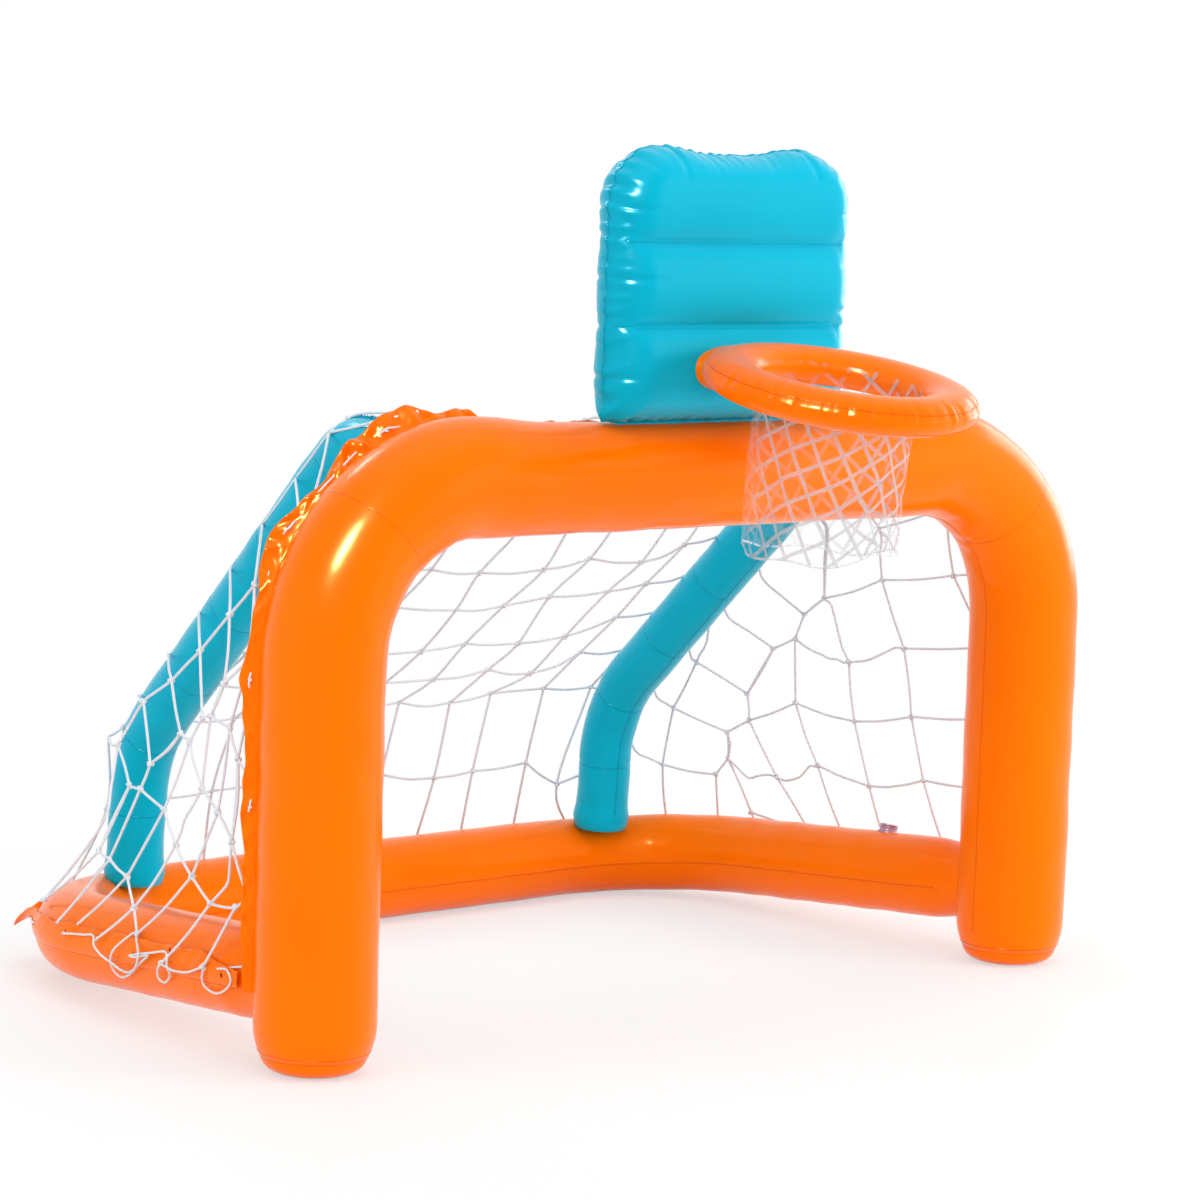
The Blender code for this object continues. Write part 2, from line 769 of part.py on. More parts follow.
class BaseFlap(Flap):
    """The film strip along the outside of the base tube, with a fold at each back corner."""

    steps = BASE_FLAP_STEPS
    eyelets = BASE_EYELETS

    def __init__(self):
        route = rounded_route(base_corners(), (BASE_BEND, BASE_BEND), 14)
        self.points = divided(route, 0.03)
        self.distance = along(self.points)
        whole = self.distance[-1]
        self.start = BASE_FLAP_START
        self.length = whole - 2 * BASE_FLAP_START
        side = (Vector(base_corners()[1]) - Vector(base_corners()[0])).length
        turn = math.pi / 2 * BASE_BEND / 2
        self.tabs = (side - BASE_BEND + turn, whole - side + BASE_BEND - turn)

    def face(self, s):
        """The level direction away from the goal."""
        forward = sample(self.points, self.distance, s + self.start)[1]
        outward = forward.cross(Vector((0, 0, 1)))
        point = sample(self.points, self.distance, s + self.start)[0]
        if outward.dot(point - Vector((0, ARCH_Y + BASE_DEPTH / 2, 0))) < 0:
            outward = -outward
        outward.z = 0
        return outward.normalized()

    def tab(self, s):
        """The length of the corner fold at a place along the film."""
        near = min(abs(s + self.start - place) for place in self.tabs)
        return TAB_LENGTH * max(0.0, 1 - near / (2 * TAB_SPREAD)) ** 1.5

    def rim(self, s, side):
        """A point just above the film's free edge, as it runs without the corner folds."""
        s = s if side < 0 else self.length - s
        return self.place(s, 1.0, 0.0) + Vector((0, 0, NET_RISE))

    def place(self, s, share, fold=1.0):
        """A point of the film at a share of its width."""
        point = sample(self.points, self.distance, s + self.start)[0]
        tab = self.tab(s) * fold
        upper = max(share - 0.5, 0.0)
        turn = min(share, 0.5) + upper * (1 - 1.7 * tab / TAB_LENGTH)
        angle = BASE_FLAP_LOW + (BASE_FLAP_HIGH - BASE_FLAP_LOW) * turn
        out = BASE_R + FLAP_SEAT + FLAP_THICK / 2
        out += BASE_FLAP_LIFT * min(2 * share, 1.0) + 2 * tab * upper
        radial = self.face(s) * math.cos(angle) + Vector((0, 0, 1)) * math.sin(angle)
        return point + radial * out


def flap_film(name, flap, material):
    """A flap as a thin solid with its eyelet holes."""
    obj = surface(name, flap.steps, 2, lambda u, v: flap.place(u * flap.length, v))
    thick = obj.modifiers.new("film", "SOLIDIFY")
    thick.thickness = FLAP_THICK
    thick.offset = 0
    cut(obj, eyelet_punches(name + "_punches", flap))
    return finish(obj, material)


def eyelet_punches(name, flap):
    """One cutter with a short rod through each eyelet."""
    mesh = bpy.data.meshes.new(name)
    bm = bmesh.new()
    for s in eyelet_places(flap.length):
        low = flap.on_film(s, flap.eyelets, -0.006)
        high = flap.on_film(s, flap.eyelets, 0.006)
        turn = (high - low).to_track_quat("Z", "Y").to_matrix().to_4x4()
        bmesh.ops.create_cone(
            bm, cap_ends=True, segments=8, radius1=EYELET_R, radius2=EYELET_R,
            depth=(high - low).length, matrix=Matrix.Translation((low + high) / 2) @ turn,
        )
    bm.to_mesh(mesh)
    bm.free()
    return link(bpy.data.objects.new(name, mesh), CUTTERS)


def lacing(name, flap, material):
    """The cord that runs along a flap and through its eyelets, now on one side, now the other."""
    holes = eyelet_places(flap.length)
    offset = FLAP_THICK / 2 + GAP + CORD_R
    slant = 0.8 * EYELET_R
    step = flap.length / flap.steps
    points = []
    side = 1
    for index, s in enumerate(holes):
        points.append(flap.on_film(s - slant, flap.eyelets, -side * offset))
        points.append(flap.on_film(s + slant, flap.eyelets, side * offset))
        if index + 1 < len(holes):
            first = math.ceil((s + 1.3 * slant) / step)
            last = math.floor((holes[index + 1] - 1.3 * slant) / step)
            for column in range(first, last + 1):
                points.append(flap.on_film(column * step, flap.eyelets, side * (offset + 2 * GAP)))
        side = -side
    return finish(tube(name, points, CORD_R, 8), material)


# The net.


def strut_frames():
    """Points of a strut's centre line with the direction away from it, from its top to its foot."""
    foot, bend, knee, top = [Vector(corner) for corner in strut_corners(STRUT_X)]
    line = [top, knee, bend, foot]
    frames = []
    for index in (1, 2):
        before = (line[index - 1] - line[index]).normalized()
        after = (line[index + 1] - line[index]).normalized()
        half = before.angle(after) / 2
        frames.append((line[index], -(before + after).normalized() / math.sin(half)))
    return frames


def net_rows(last):
    """Centre points and directions for the net's rows from the knee down to the lower bend."""
    (knee, knee_out), (bend, bend_out) = strut_frames()
    return [(knee.lerp(bend, k / last), knee_out.lerp(bend_out, k / last)) for k in range(last + 1)]


def over_strut(row, x):
    """A point of the net at a row, over a strut or at the shoulder outside it."""
    centre, away = net_rows(SLOPE_STEPS)[row]
    shoulder = abs(x) > centre.x + 0.001
    height = NET_WRAP * (math.sin(NET_WRAP_ANGLE) if shoulder else 1.0)
    return Vector((x, centre.y, centre.z)) + Vector((0, away.y, away.z)) * height


def shoulder_x(row):
    """How far from the middle the net passes over the outer shoulder of a strut."""
    return net_rows(SLOPE_STEPS)[row][0].x + NET_WRAP * math.cos(NET_WRAP_ANGLE)


def column_x(u, half, shoulder):
    """The place of a column: the outer two at the shoulders, the rest between the struts."""
    column = round(u * (NET_COLUMNS + 2))
    if column in (0, NET_COLUMNS + 2):
        return math.copysign(shoulder, u - 0.5)
    return -half + 2 * half * (column - 1) / NET_COLUMNS


def sag(x, row):
    """How far the net hangs in between the struts, none at its ends."""
    inside = max(0.0, 1 - (x / STRUT_X) ** 2)
    return NET_SAG * inside * math.sin(math.pi * row) ** 0.5


def string_panel(name, columns, rows, place, material):
    """A panel of crossing strings, from a grid of cells."""
    obj = surface(name, columns, rows, place)
    strings = obj.modifiers.new("strings", "WIREFRAME")
    strings.thickness = STRING
    strings.use_even_offset = False
    strings.use_boundary = True
    strings.use_replace = True
    return finish(obj, material)


def net_slope(arch_flap, material):
    """The panel from the top of the arch over the struts down to their lower bend."""
    last = ROOF_STEPS + SLOPE_STEPS

    def place(u, v):
        index = round(v * last)
        row = max(index - ROOF_STEPS, 0)
        x = column_x(u, net_rows(SLOPE_STEPS)[row][0].x, shoulder_x(row))
        if index < ROOF_STEPS:
            side = 1 if x > 0 else -1
            return arch_flap.edge(arch_flap.reach(abs(x)), side, NET_EDGE, NET_LIFT)
        hang = sag(x, v)
        return over_strut(row, x) - Vector((0, 0.6 * hang, 0.8 * hang))

    return string_panel("net_slope", NET_COLUMNS + 2, last, place, material)


def net_back(base_flap, material):
    """The upright panel between the strut bends and the back of the base tube."""

    def place(u, v):
        half = net_rows(SLOPE_STEPS)[SLOPE_STEPS][0].x
        x = column_x(u, half, shoulder_x(SLOPE_STEPS))
        upper = over_strut(SLOPE_STEPS, x)
        side = 1 if x > 0 else -1
        lower = base_flap.rim(base_flap.reach(abs(x)), side)
        return upper.lerp(lower, v) - Vector((0, 0, NET_SEAM * (1 - v)))

    return string_panel("net_back", NET_COLUMNS + 2, BACK_STEPS, place, material)


def net_side(name, side, arch_flap, base_flap, material):
    """A side panel between a strut, the arch's flap and the base tube's flap."""
    count = SLOPE_STEPS + BACK_STEPS
    top = arch_flap.reach(shoulder_x(0) + NET_SEAM)
    back = base_flap.reach(shoulder_x(SLOPE_STEPS) + NET_SEAM)

    def strut_edge(v):
        index = round(v * count)
        row = min(index, SLOPE_STEPS)
        upper = over_strut(row, side * (shoulder_x(row) + NET_SEAM))
        lower = base_flap.rim(back, side)
        return upper.lerp(lower, (index - row) / BACK_STEPS)

    def flap_edge(v):
        s = NET_FOOT + (top - NET_FOOT) * (1 - v)
        return arch_flap.edge(s, side, NET_EDGE, NET_LIFT)

    def base_edge(u):
        return base_flap.rim(back + (0.02 - back) * u, side)

    def place(u, v):
        across = strut_edge(v).lerp(flap_edge(v), u)
        ends = strut_edge(1).lerp(flap_edge(1), u)
        weight = v**2 if 0 < u < 1 else 0.0
        return across + (base_edge(u) - ends) * weight

    return string_panel(name, SIDE_COLUMNS, count, place, material)


# The valves.


def valve_collar(name, sizes, matrix, chamber, material):
    """The collar that stands on the film, cut to the chamber under it."""
    low = -0.004
    top = sizes["height"]
    outer = sizes["collar_r"]
    bore = sizes["bore_r"]
    neck = bore + 0.0022
    profile = [
        (bore, top), (neck + 0.0006, top), (neck + 0.0006, top - 0.0016), (neck, top - 0.0020),
        (neck, 0.0022), (outer, 0.0010), (outer, low), (bore, low),
    ]
    obj = turned(name, profile, sizes["steps"])
    obj.matrix_world = matrix
    cut(obj, chamber)
    return finish(obj, material)


def valve_plug(name, sizes, matrix, material):
    """The plug with its head, its stepped shaft and a lug to pull it by."""
    top = sizes["height"] + GAP
    shaft = sizes["bore_r"] - PLUG_CLEARANCE
    head = sizes["bore_r"] + 0.0026
    depth = sizes["plug_depth"]
    profile = [
        (0.0, top + PLUG_HEAD), (head - 0.0006, top + PLUG_HEAD), (head, top + PLUG_HEAD - 0.0007),
        (head, top), (shaft, top), (shaft, top - depth + 0.0008), (shaft - 0.0008, top - depth),
        (0.0, top - depth),
    ]
    obj = turned(name, profile, sizes["steps"])
    obj.matrix_world = matrix
    join = obj.modifiers.new("lug", "BOOLEAN")
    join.operation = "UNION"
    join.solver = "EXACT"
    join.object = plug_lug(name + "_lug", head, top, matrix)
    return finish(obj, material)


def plug_lug(name, head, top, matrix):
    """The flat lug at the edge of a plug's head."""
    mesh = bpy.data.meshes.new(name)
    bm = bmesh.new()
    size = Vector((LUG_LENGTH + 0.002, 0.0045, PLUG_HEAD * 0.55))
    middle = Vector((head + LUG_LENGTH / 2 - 0.001, 0, top + PLUG_HEAD * 0.5))
    bmesh.ops.create_cube(bm, size=1, matrix=Matrix.Translation(middle) @ Matrix.Diagonal((*size, 1)))
    bm.to_mesh(mesh)
    bm.free()
    obj = link(bpy.data.objects.new(name, mesh), CUTTERS)
    obj.matrix_world = matrix
    return obj


def facing(point, direction, lug=(0, 1, 0)):
    """A frame at a point whose Z axis faces the given way and whose X axis lies near lug."""
    z = Vector(direction).normalized()
    y = z.cross(Vector(lug)).normalized()
    x = y.cross(z)
    turn = Matrix((x, y, z)).transposed().to_4x4()
    return Matrix.Translation(point) @ turn


def valve_frames():
    """Where each valve stands and which way it faces, by its chamber."""
    start, end = Vector(base_corners()[3]), Vector(base_corners()[2])
    base_axis = start.lerp(end, BASE_VALVE_Y / BASE_DEPTH)
    lean = Vector((math.sin(BASE_VALVE_LEAN), 0, math.cos(BASE_VALVE_LEAN)))
    board = board_foot()
    board_point = Vector((BOARD_VALVE_X, board_bulge(BOARD_VALVE_X, BOARD_VALVE_UP), BOARD_VALVE_UP))
    ring = Matrix.Translation(hoop_centre()) @ Matrix.Rotation(HOOP_TILT, 4, "X")
    foot, bend = [Vector(corner) for corner in strut_corners(STRUT_X)[:2]]
    strut = foot.lerp(bend, (STRUT_VALVE_Z - foot.z) / (bend.z - foot.z))
    frames = {
        "base": facing(base_axis + lean * BASE_R, lean),
        "arch": facing((HALF, ARCH_Y + ARCH_R, ARCH_VALVE_Z), (0, 1, 0), (0, 0, -1)),
        "backboard": facing(board + board_point, (0, 1, 0), (0, 0, -1)),
        "hoop": ring @ facing((HOOP_R, 0, -HOOP_TUBE_B), (0, 0, -1), (0, 1, 0)),
    }
    for name, side in (("strut_left", -1), ("strut_right", 1)):
        point = Vector((side * strut.x, strut.y + STRUT_R, strut.z))
        frames[name] = facing(point, (0, 1, 0), (0, 0, -1))
    return frames


def valves(material, spaces):
    """A collar and a plug for every air chamber."""
    for chamber, matrix in valve_frames().items():
        sizes = BIG_VALVE if chamber in ("base", "arch") else SMALL_VALVE
        valve_collar(chamber + "_valve_collar", sizes, matrix, spaces[chamber], material)
        valve_plug(chamber + "_valve_plug", sizes, matrix, material)


def chamber_spaces():
    """Every chamber with its clearance, by the name of the chamber."""
    spaces = {
        "arch": arch_space(),
        "base": base_space(),
        "backboard": board_shape("board_space", GAP),
        "hoop": ring_shape("ring_space", CUTTERS, GAP),
    }
    for name, side in (("strut_left", -1), ("strut_right", 1)):
        route = strut_route(side * STRUT_X)
        spaces[name] = tube(name + "_space", route, STRUT_R, STRUT_SIDES, CUTTERS, grow=GAP)
    return spaces


def build():
    """Build the whole goal."""
    clear_scene()
    looks = finishes()
    spaces = chamber_spaces()
    front_arch(looks["orange"])
    leg_caps(looks["orange"])
    base_tube(looks["orange"], spaces["arch"])
    struts(looks["cyan"], spaces["arch"], spaces["base"])
    backboard(looks["cyan"])
    weld_strip(looks["cyan"], spaces["arch"])
    hoop_ring(looks["orange"], spaces["backboard"])
    basket_sleeve(looks["clear"])
    arch_flap, base_flap = ArchFlap(), BaseFlap()
    flap_film("arch_flap", arch_flap, looks["orange"])
    flap_film("base_flap", base_flap, looks["orange"])
    lacing("arch_lacing_cord", arch_flap, looks["string"])
    lacing("base_lacing_cord", base_flap, looks["string"])
    net_slope(arch_flap, looks["string"])
    net_back(base_flap, looks["string"])
    net_side("net_left", -1, arch_flap, base_flap, looks["string"])
    net_side("net_right", 1, arch_flap, base_flap, looks["string"])
    valves(looks["valve"], spaces)


build()
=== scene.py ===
"""Visual model of an inflatable garden goal with a net, a backboard and a hoop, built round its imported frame.

Metres, +Z up, +Y towards the back of the goal, the origin on the ground under its middle.
"""

import logging
import math
from collections.abc import Callable, Iterable, Sequence
from dataclasses import dataclass
from enum import Enum

import bpy
import numpy as np
from mathutils import Matrix, Vector
from mathutils.bvhtree import BVHTree
from mathutils.kdtree import KDTree


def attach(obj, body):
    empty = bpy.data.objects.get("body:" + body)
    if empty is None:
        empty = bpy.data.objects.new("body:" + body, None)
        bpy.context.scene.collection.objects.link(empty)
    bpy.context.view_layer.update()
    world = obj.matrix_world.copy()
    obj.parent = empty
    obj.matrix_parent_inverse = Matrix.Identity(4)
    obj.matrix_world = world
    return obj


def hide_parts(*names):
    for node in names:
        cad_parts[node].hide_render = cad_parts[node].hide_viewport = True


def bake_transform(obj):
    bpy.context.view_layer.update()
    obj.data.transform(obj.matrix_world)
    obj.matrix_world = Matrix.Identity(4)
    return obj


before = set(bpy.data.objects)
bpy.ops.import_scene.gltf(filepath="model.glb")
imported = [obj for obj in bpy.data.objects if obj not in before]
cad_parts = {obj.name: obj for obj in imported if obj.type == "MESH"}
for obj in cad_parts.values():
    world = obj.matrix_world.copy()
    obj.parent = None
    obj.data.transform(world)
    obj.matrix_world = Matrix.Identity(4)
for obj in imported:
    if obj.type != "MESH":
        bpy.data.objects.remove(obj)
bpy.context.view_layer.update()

log = logging.getLogger("goal")

ARCH_Y = -0.195437
HALF_SPACING = 0.6625
FRAME_BODY = "goal_frame"
ROUTE_PITCH = 0.004
PVC_IOR = 1.53
BACK = np.array((0.0, 1.0, 0.0))
UP = np.array((0.0, 0.0, 1.0))


class Slot(Enum):
    """The record's material slots."""

    ORANGE = "orange_film"
    CYAN = "cyan_film"
    CLEAR = "clear_film"
    STRING = "string"
    VALVE = "valve"


class Side(Enum):
    """The two sides of the goal, seen from its front."""

    LEFT = -1
    RIGHT = 1


# Colours and nodes.


def linear(colour: str) -> tuple[float, float, float, float]:
    """Turns an sRGB hex colour to linear red, green, blue and alpha.

    Args:
        colour: The colour as "#RRGGBB".

    Returns:
        The linear colour with an alpha of 1.
    """
    parts = [int(colour[i:i + 2], 16) / 255 for i in (1, 3, 5)]
    red, green, blue = [p / 12.92 if p <= 0.04045 else ((p + 0.055) / 1.055) ** 2.4 for p in parts]
    return red, green, blue, 1.0


def add_node(tree: bpy.types.NodeTree, kind: str, settings: dict | None = None,
             inputs: dict | None = None) -> bpy.types.Node:
    """Adds a node with its settings, and fills its inputs with values or links.

    Args:
        tree: The tree that takes the node.
        kind: Blender's name of the node's type, without "ShaderNode".
        settings: The node's own properties by name.
        inputs: Values or output sockets by input name or index.

    Returns:
        The new node.
    """
    node = tree.nodes.new("ShaderNode" + kind)
    for name, value in (settings or {}).items():
        setattr(node, name, value)
    for key, value in (inputs or {}).items():
        if isinstance(value, bpy.types.NodeSocket):
            tree.links.new(value, node.inputs[key])
        else:
            node.inputs[key].default_value = value
    return node


def new_material(name: str) -> tuple[bpy.types.Material, bpy.types.NodeTree, bpy.types.Node]:
    """Makes a material.

    Args:
        name: The material's name.

    Returns:
        The material, its tree and its Principled shader.
    """
    material = bpy.data.materials.new(name)
    material.use_nodes = True
    return material, material.node_tree, material.node_tree.nodes["Principled BSDF"]


@dataclass(frozen=True)
class InflatedFilm:
    """Calendered soft PVC film, blown tight: a smooth gloss with slow dents and darker weld lines, whose darker tone
    is also painted shade in the hoop's gathers.
    """

    name: str
    colour: str
    shade: str
    weld: str
    gloss: str
    roughness: float = 0.22
    drift_mm: float = 160.0
    dent_mm: float = 38.0
    peel_mm: float = 1.6

    def build(self) -> bpy.types.Material:
        """Builds the material.

        Returns:
            The film's material.
        """
        material, tree, shader = new_material(self.name)
        place = add_node(tree, "TexCoord").outputs["Object"]
        drift = add_node(tree, "TexNoise", None, {"Vector": place, "Scale": 1000 / self.drift_mm, "Detail": 1.0})
        tone = add_node(tree, "Mix", {"data_type": "RGBA"}, {
            0: drift.outputs["Fac"], 6: linear(self.shade), 7: linear(self.colour)})
        # The weld attribute darkens the weld lines, and is also painted shade in the hoop's gathers.
        weld = add_node(tree, "Attribute", {"attribute_name": "weld"})
        weld_and_painted_shade_tone = add_node(tree, "Mix", {"data_type": "RGBA"}, {
            0: weld.outputs["Fac"], 6: tone.outputs[2], 7: linear(self.weld)})
        tree.links.new(weld_and_painted_shade_tone.outputs[2], shader.inputs["Base Color"])
        rough = add_node(tree, "MapRange", None, {
            0: drift.outputs["Fac"], 3: self.roughness - 0.04, 4: self.roughness + 0.05})
        tree.links.new(rough.outputs[0], shader.inputs["Roughness"])
        dents = add_node(tree, "TexNoise", None, {
            "Vector": place, "Scale": 1000 / self.dent_mm, "Detail": 1.5, "Roughness": 0.4})
        peel = add_node(tree, "TexNoise", None, {"Vector": place, "Scale": 1000 / self.peel_mm, "Detail": 1.0})
        slow = add_node(tree, "Bump", None, {"Strength": 0.35, "Distance": 0.0012, "Height": dents.outputs["Fac"]})
        fine = add_node(tree, "Bump", None, {
            "Strength": 0.12, "Distance": 0.0001, "Height": peel.outputs["Fac"], "Normal": slow.outputs[0]})
        tree.links.new(fine.outputs[0], shader.inputs["Normal"])
        shader.inputs["IOR"].default_value = PVC_IOR
        shader.inputs["Specular IOR Level"].default_value = 0.22
        shader.inputs["Specular Tint"].default_value = linear(self.gloss)
        return material


@dataclass(frozen=True)
class PrintedClearFilm:
    """Clear PVC film printed with a pale slanting lattice: hazy between the lines, milky on them, and painted fainter
    on the half towards the backboard as painted shade.
    """

    name: str
    colour: str = "#E6EAEE"
    ink: str = "#C6C7CC"
    pitch_mm: float = 31.0
    line_mm: float = 4.8
    slant: float = math.radians(29)
    cloud_mm: float = 26.0
    fold_mm: float = 30.0
    hem: tuple[float, float] = (-0.2215, -0.2225)
    back_print_painted_shade: tuple[float, float] = (-0.43, -0.36)

    def build(self) -> bpy.types.Material:
        """Builds the material, whose lattice reads the sleeve's UV map in metres.

        Returns:
            The clear film's material.
        """
        material, tree, shader = new_material(self.name)
        uv = add_node(tree, "UVMap", {"uv_map": "film"})
        turned = add_node(tree, "Mapping", {"vector_type": "POINT"}, {
            "Vector": uv.outputs[0], "Rotation": (0, 0, -self.slant), "Scale": (1000 / self.pitch_mm,) * 3})
        axes = add_node(tree, "SeparateXYZ", None, {0: turned.outputs[0]})
        half = self.line_mm / self.pitch_mm / 2
        masks = []
        for axis in ("X", "Y"):
            saw = add_node(tree, "Math", {"operation": "PINGPONG"}, {0: axes.outputs[axis], 1: 0.5})
            masks.append(add_node(tree, "MapRange", {"interpolation_type": "SMOOTHSTEP"}, {
                0: saw.outputs[0], 1: half * 1.25, 2: half * 0.75, 3: 0.0, 4: 1.0}))
        both = add_node(tree, "Math", {"operation": "MAXIMUM"}, {0: masks[0].outputs[0], 1: masks[1].outputs[0]})
        place = add_node(tree, "TexCoord").outputs["Object"]
        cloud = add_node(tree, "TexNoise", None, {"Vector": place, "Scale": 1000 / self.cloud_mm, "Detail": 2.0})
        haze = add_node(tree, "MapRange", None, {0: cloud.outputs["Fac"], 1: 0.3, 2: 0.75, 3: 0.001, 4: 0.014})
        edge = add_node(tree, "LayerWeight", None, {"Blend": 0.12})
        film = add_node(tree, "Math", {"operation": "MULTIPLY_ADD"}, {
            0: edge.outputs["Facing"], 1: 0.06, 2: haze.outputs[0]})
        flat = add_node(tree, "SeparateXYZ", None, {0: uv.outputs[0]})
        hem = add_node(tree, "MapRange", None, {
            0: flat.outputs["Y"], 1: self.hem[0], 2: self.hem[1], 3: 0.0, 4: 0.35})
        rim = add_node(tree, "Math", {"operation": "ADD", "use_clamp": True}, {0: film.outputs[0], 1: hem.outputs[0]})
        # Painted shade: the print's lines grow fainter on the sleeve's half towards the backboard, standing in for
        # the shade on its far wall.
        depth = add_node(tree, "SeparateXYZ", None, {0: place})
        printed = add_node(tree, "MapRange", None, {
            0: depth.outputs["Y"], 1: self.back_print_painted_shade[0], 2: self.back_print_painted_shade[1], 3: 0.40, 4: 0.10})
        alpha = add_node(tree, "Mix", {"data_type": "FLOAT"}, {
            0: both.outputs[0], 2: rim.outputs[0], 3: printed.outputs[0]})
        tree.links.new(alpha.outputs[0], shader.inputs["Alpha"])
        tone = add_node(tree, "Mix", {"data_type": "RGBA"}, {
            0: both.outputs[0], 6: linear(self.colour), 7: linear(self.ink)})
        tree.links.new(tone.outputs[2], shader.inputs["Base Color"])
        folds = add_node(tree, "TexNoise", None, {"Vector": place, "Scale": 1000 / self.fold_mm, "Detail": 2.5})
        bump = add_node(tree, "Bump", None, {"Strength": 0.6, "Distance": 0.003, "Height": folds.outputs["Fac"]})
        tree.links.new(bump.outputs[0], shader.inputs["Normal"])
        rough = add_node(tree, "MapRange", None, {0: both.outputs[0], 3: 0.10, 4: 0.35})
        tree.links.new(rough.outputs[0], shader.inputs["Roughness"])
        shader.inputs["IOR"].default_value = PVC_IOR
        return material


@dataclass(frozen=True)
class TwistedString:
    """Twisted polyester string: matt off-white, with painted shade in the slanting grooves between its strands."""

    name: str
    colour: str = "#DEE5EC"
    shade: str = "#D2D9E0"
    lay_mm: float = 7.0
    strands: float = 3.0

    def build(self) -> bpy.types.Material:
        """Builds the material, whose strands read the string's UV map: round it and along it in metres.

        Returns:
            The string's material.
        """
        material, tree, shader = new_material(self.name)
        uv = add_node(tree, "UVMap", {"uv_map": "string"})
        axes = add_node(tree, "SeparateXYZ", None, {0: uv.outputs[0]})
        run = add_node(tree, "Math", {"operation": "MULTIPLY"}, {0: axes.outputs["Y"], 1: 1000 / self.lay_mm})
        turn = add_node(tree, "Math", {"operation": "ADD"}, {0: run.outputs[0], 1: axes.outputs["X"]})
        strands = add_node(tree, "Math", {"operation": "MULTIPLY"}, {0: turn.outputs[0], 1: self.strands})
        groove_painted_shade = add_node(tree, "Math", {"operation": "PINGPONG"}, {0: strands.outputs[0], 1: 0.5})
        # Painted shade: the slanting grooves between the strands are darker.
        tone = add_node(tree, "Mix", {"data_type": "RGBA"}, {
            0: groove_painted_shade.outputs[0], 6: linear(self.shade), 7: linear(self.colour)})
        tree.links.new(tone.outputs[2], shader.inputs["Base Color"])
        shader.inputs["Roughness"].default_value = 0.7
        shader.inputs["Sheen Weight"].default_value = 0.15
        return material


@dataclass(frozen=True)
class ValvePlastic:
    """Injection-moulded soft PVC: cloudy, half see-through, faintly violet."""

    name: str
    colour: str = "#D2B4CC"
    shade: str = "#B590B0"
    cloud_mm: float = 5.0

    def build(self) -> bpy.types.Material:
        """Builds the material.

        Returns:
            The valve's material.
        """
        material, tree, shader = new_material(self.name)
        place = add_node(tree, "TexCoord").outputs["Object"]
        cloud = add_node(tree, "TexNoise", None, {"Vector": place, "Scale": 1000 / self.cloud_mm, "Detail": 2.0})
        tone = add_node(tree, "Mix", {"data_type": "RGBA"}, {
            0: cloud.outputs["Fac"], 6: linear(self.shade), 7: linear(self.colour)})
        tree.links.new(tone.outputs[2], shader.inputs["Base Color"])
        bump = add_node(tree, "Bump", None, {"Strength": 0.15, "Distance": 0.0002, "Height": cloud.outputs["Fac"]})
        tree.links.new(bump.outputs[0], shader.inputs["Normal"])
        shader.inputs["Roughness"].default_value = 0.28
        shader.inputs["IOR"].default_value = PVC_IOR
        shader.inputs["Transmission Weight"].default_value = 0.35
        return material


class Palette:
    """The goal's materials by slot."""

    def __init__(self) -> None:
        """Builds one finish for each slot."""
        finishes = {
            Slot.ORANGE: InflatedFilm("inflated_orange_pvc", "#FF7900", "#FF7100", "#EE6400", "#FFBC70"),
            Slot.CYAN: InflatedFilm("inflated_cyan_pvc", "#00B4D2", "#00ACCA", "#0098B6", "#88E4F4"),
            Slot.CLEAR: PrintedClearFilm("printed_clear_pvc"),
            Slot.STRING: TwistedString("twisted_polyester_string"),
            Slot.VALVE: ValvePlastic("moulded_soft_pvc"),
        }
        self.materials = {slot: finish.build() for slot, finish in finishes.items()}

    def place(self, obj: bpy.types.Object, slot: Slot, body: str, nodes: Sequence[str] = ()) -> bpy.types.Object:
        """Gives a finished piece its material and its body, and hides the CAD nodes that it stands for.

        Args:
            obj: The piece.
            slot: The record's slot.
            body: The body that carries it, or an empty text to leave it on no body.
            nodes: The CAD nodes that it replaces.

        Returns:
            The same piece.
        """
        obj.data.materials.clear()
        obj.data.materials.append(self.materials[slot])
        obj.data.shade_smooth()
        if body:
            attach(obj, body)
        if nodes:
            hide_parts(*nodes)
        log.info("%s: %d faces on %s", obj.name, len(obj.data.polygons), body or "two bodies")
        return obj


# Shapes.


def smooth(value: np.ndarray | float, low: float, high: float) -> np.ndarray:
    """A smooth rise from 0 at low to 1 at high."""
    share = np.clip((np.asarray(value, float) - low) / (high - low), 0.0, 1.0)
    return share * share * (3 - 2 * share)


def wobble(place: np.ndarray, pitch: float, seed: int, waves: int = 5) -> np.ndarray:
    """A smooth uneven wave that repeats nowhere.

    Args:
        place: Distances along something, in metres.
        pitch: The usual distance between crests.
        seed: Chooses the wave.
        waves: How many sines make it up.

    Returns:
        The wave's height at each place, mostly between -1 and 1.
    """
    rng = np.random.default_rng(seed)
    rates = 2 * math.pi / pitch * rng.uniform(0.6, 1.7, waves)
    phases = rng.uniform(0, 2 * math.pi, waves)
    total = sum(np.sin(np.asarray(place) * rate + phase) for rate, phase in zip(rates, phases))
    return total / math.sqrt(waves)


def hump(place: np.ndarray | float, middle: float, width: float) -> np.ndarray:
    """A soft hump of height 1 that falls away on both sides of its middle."""
    return np.exp(-((place - middle) / width) ** 2)


def dimples(place: np.ndarray, marks: Iterable[tuple[float, float, float]]) -> np.ndarray:
    """Soft dimples in a row.

    Args:
        place: Distances along something.
        marks: Each dimple's middle, depth and width.

    Returns:
        How far the surface stands out at each place, less than 0 in a dimple.
    """
    return -sum(depth * hump(place, middle, width) for middle, depth, width in marks)


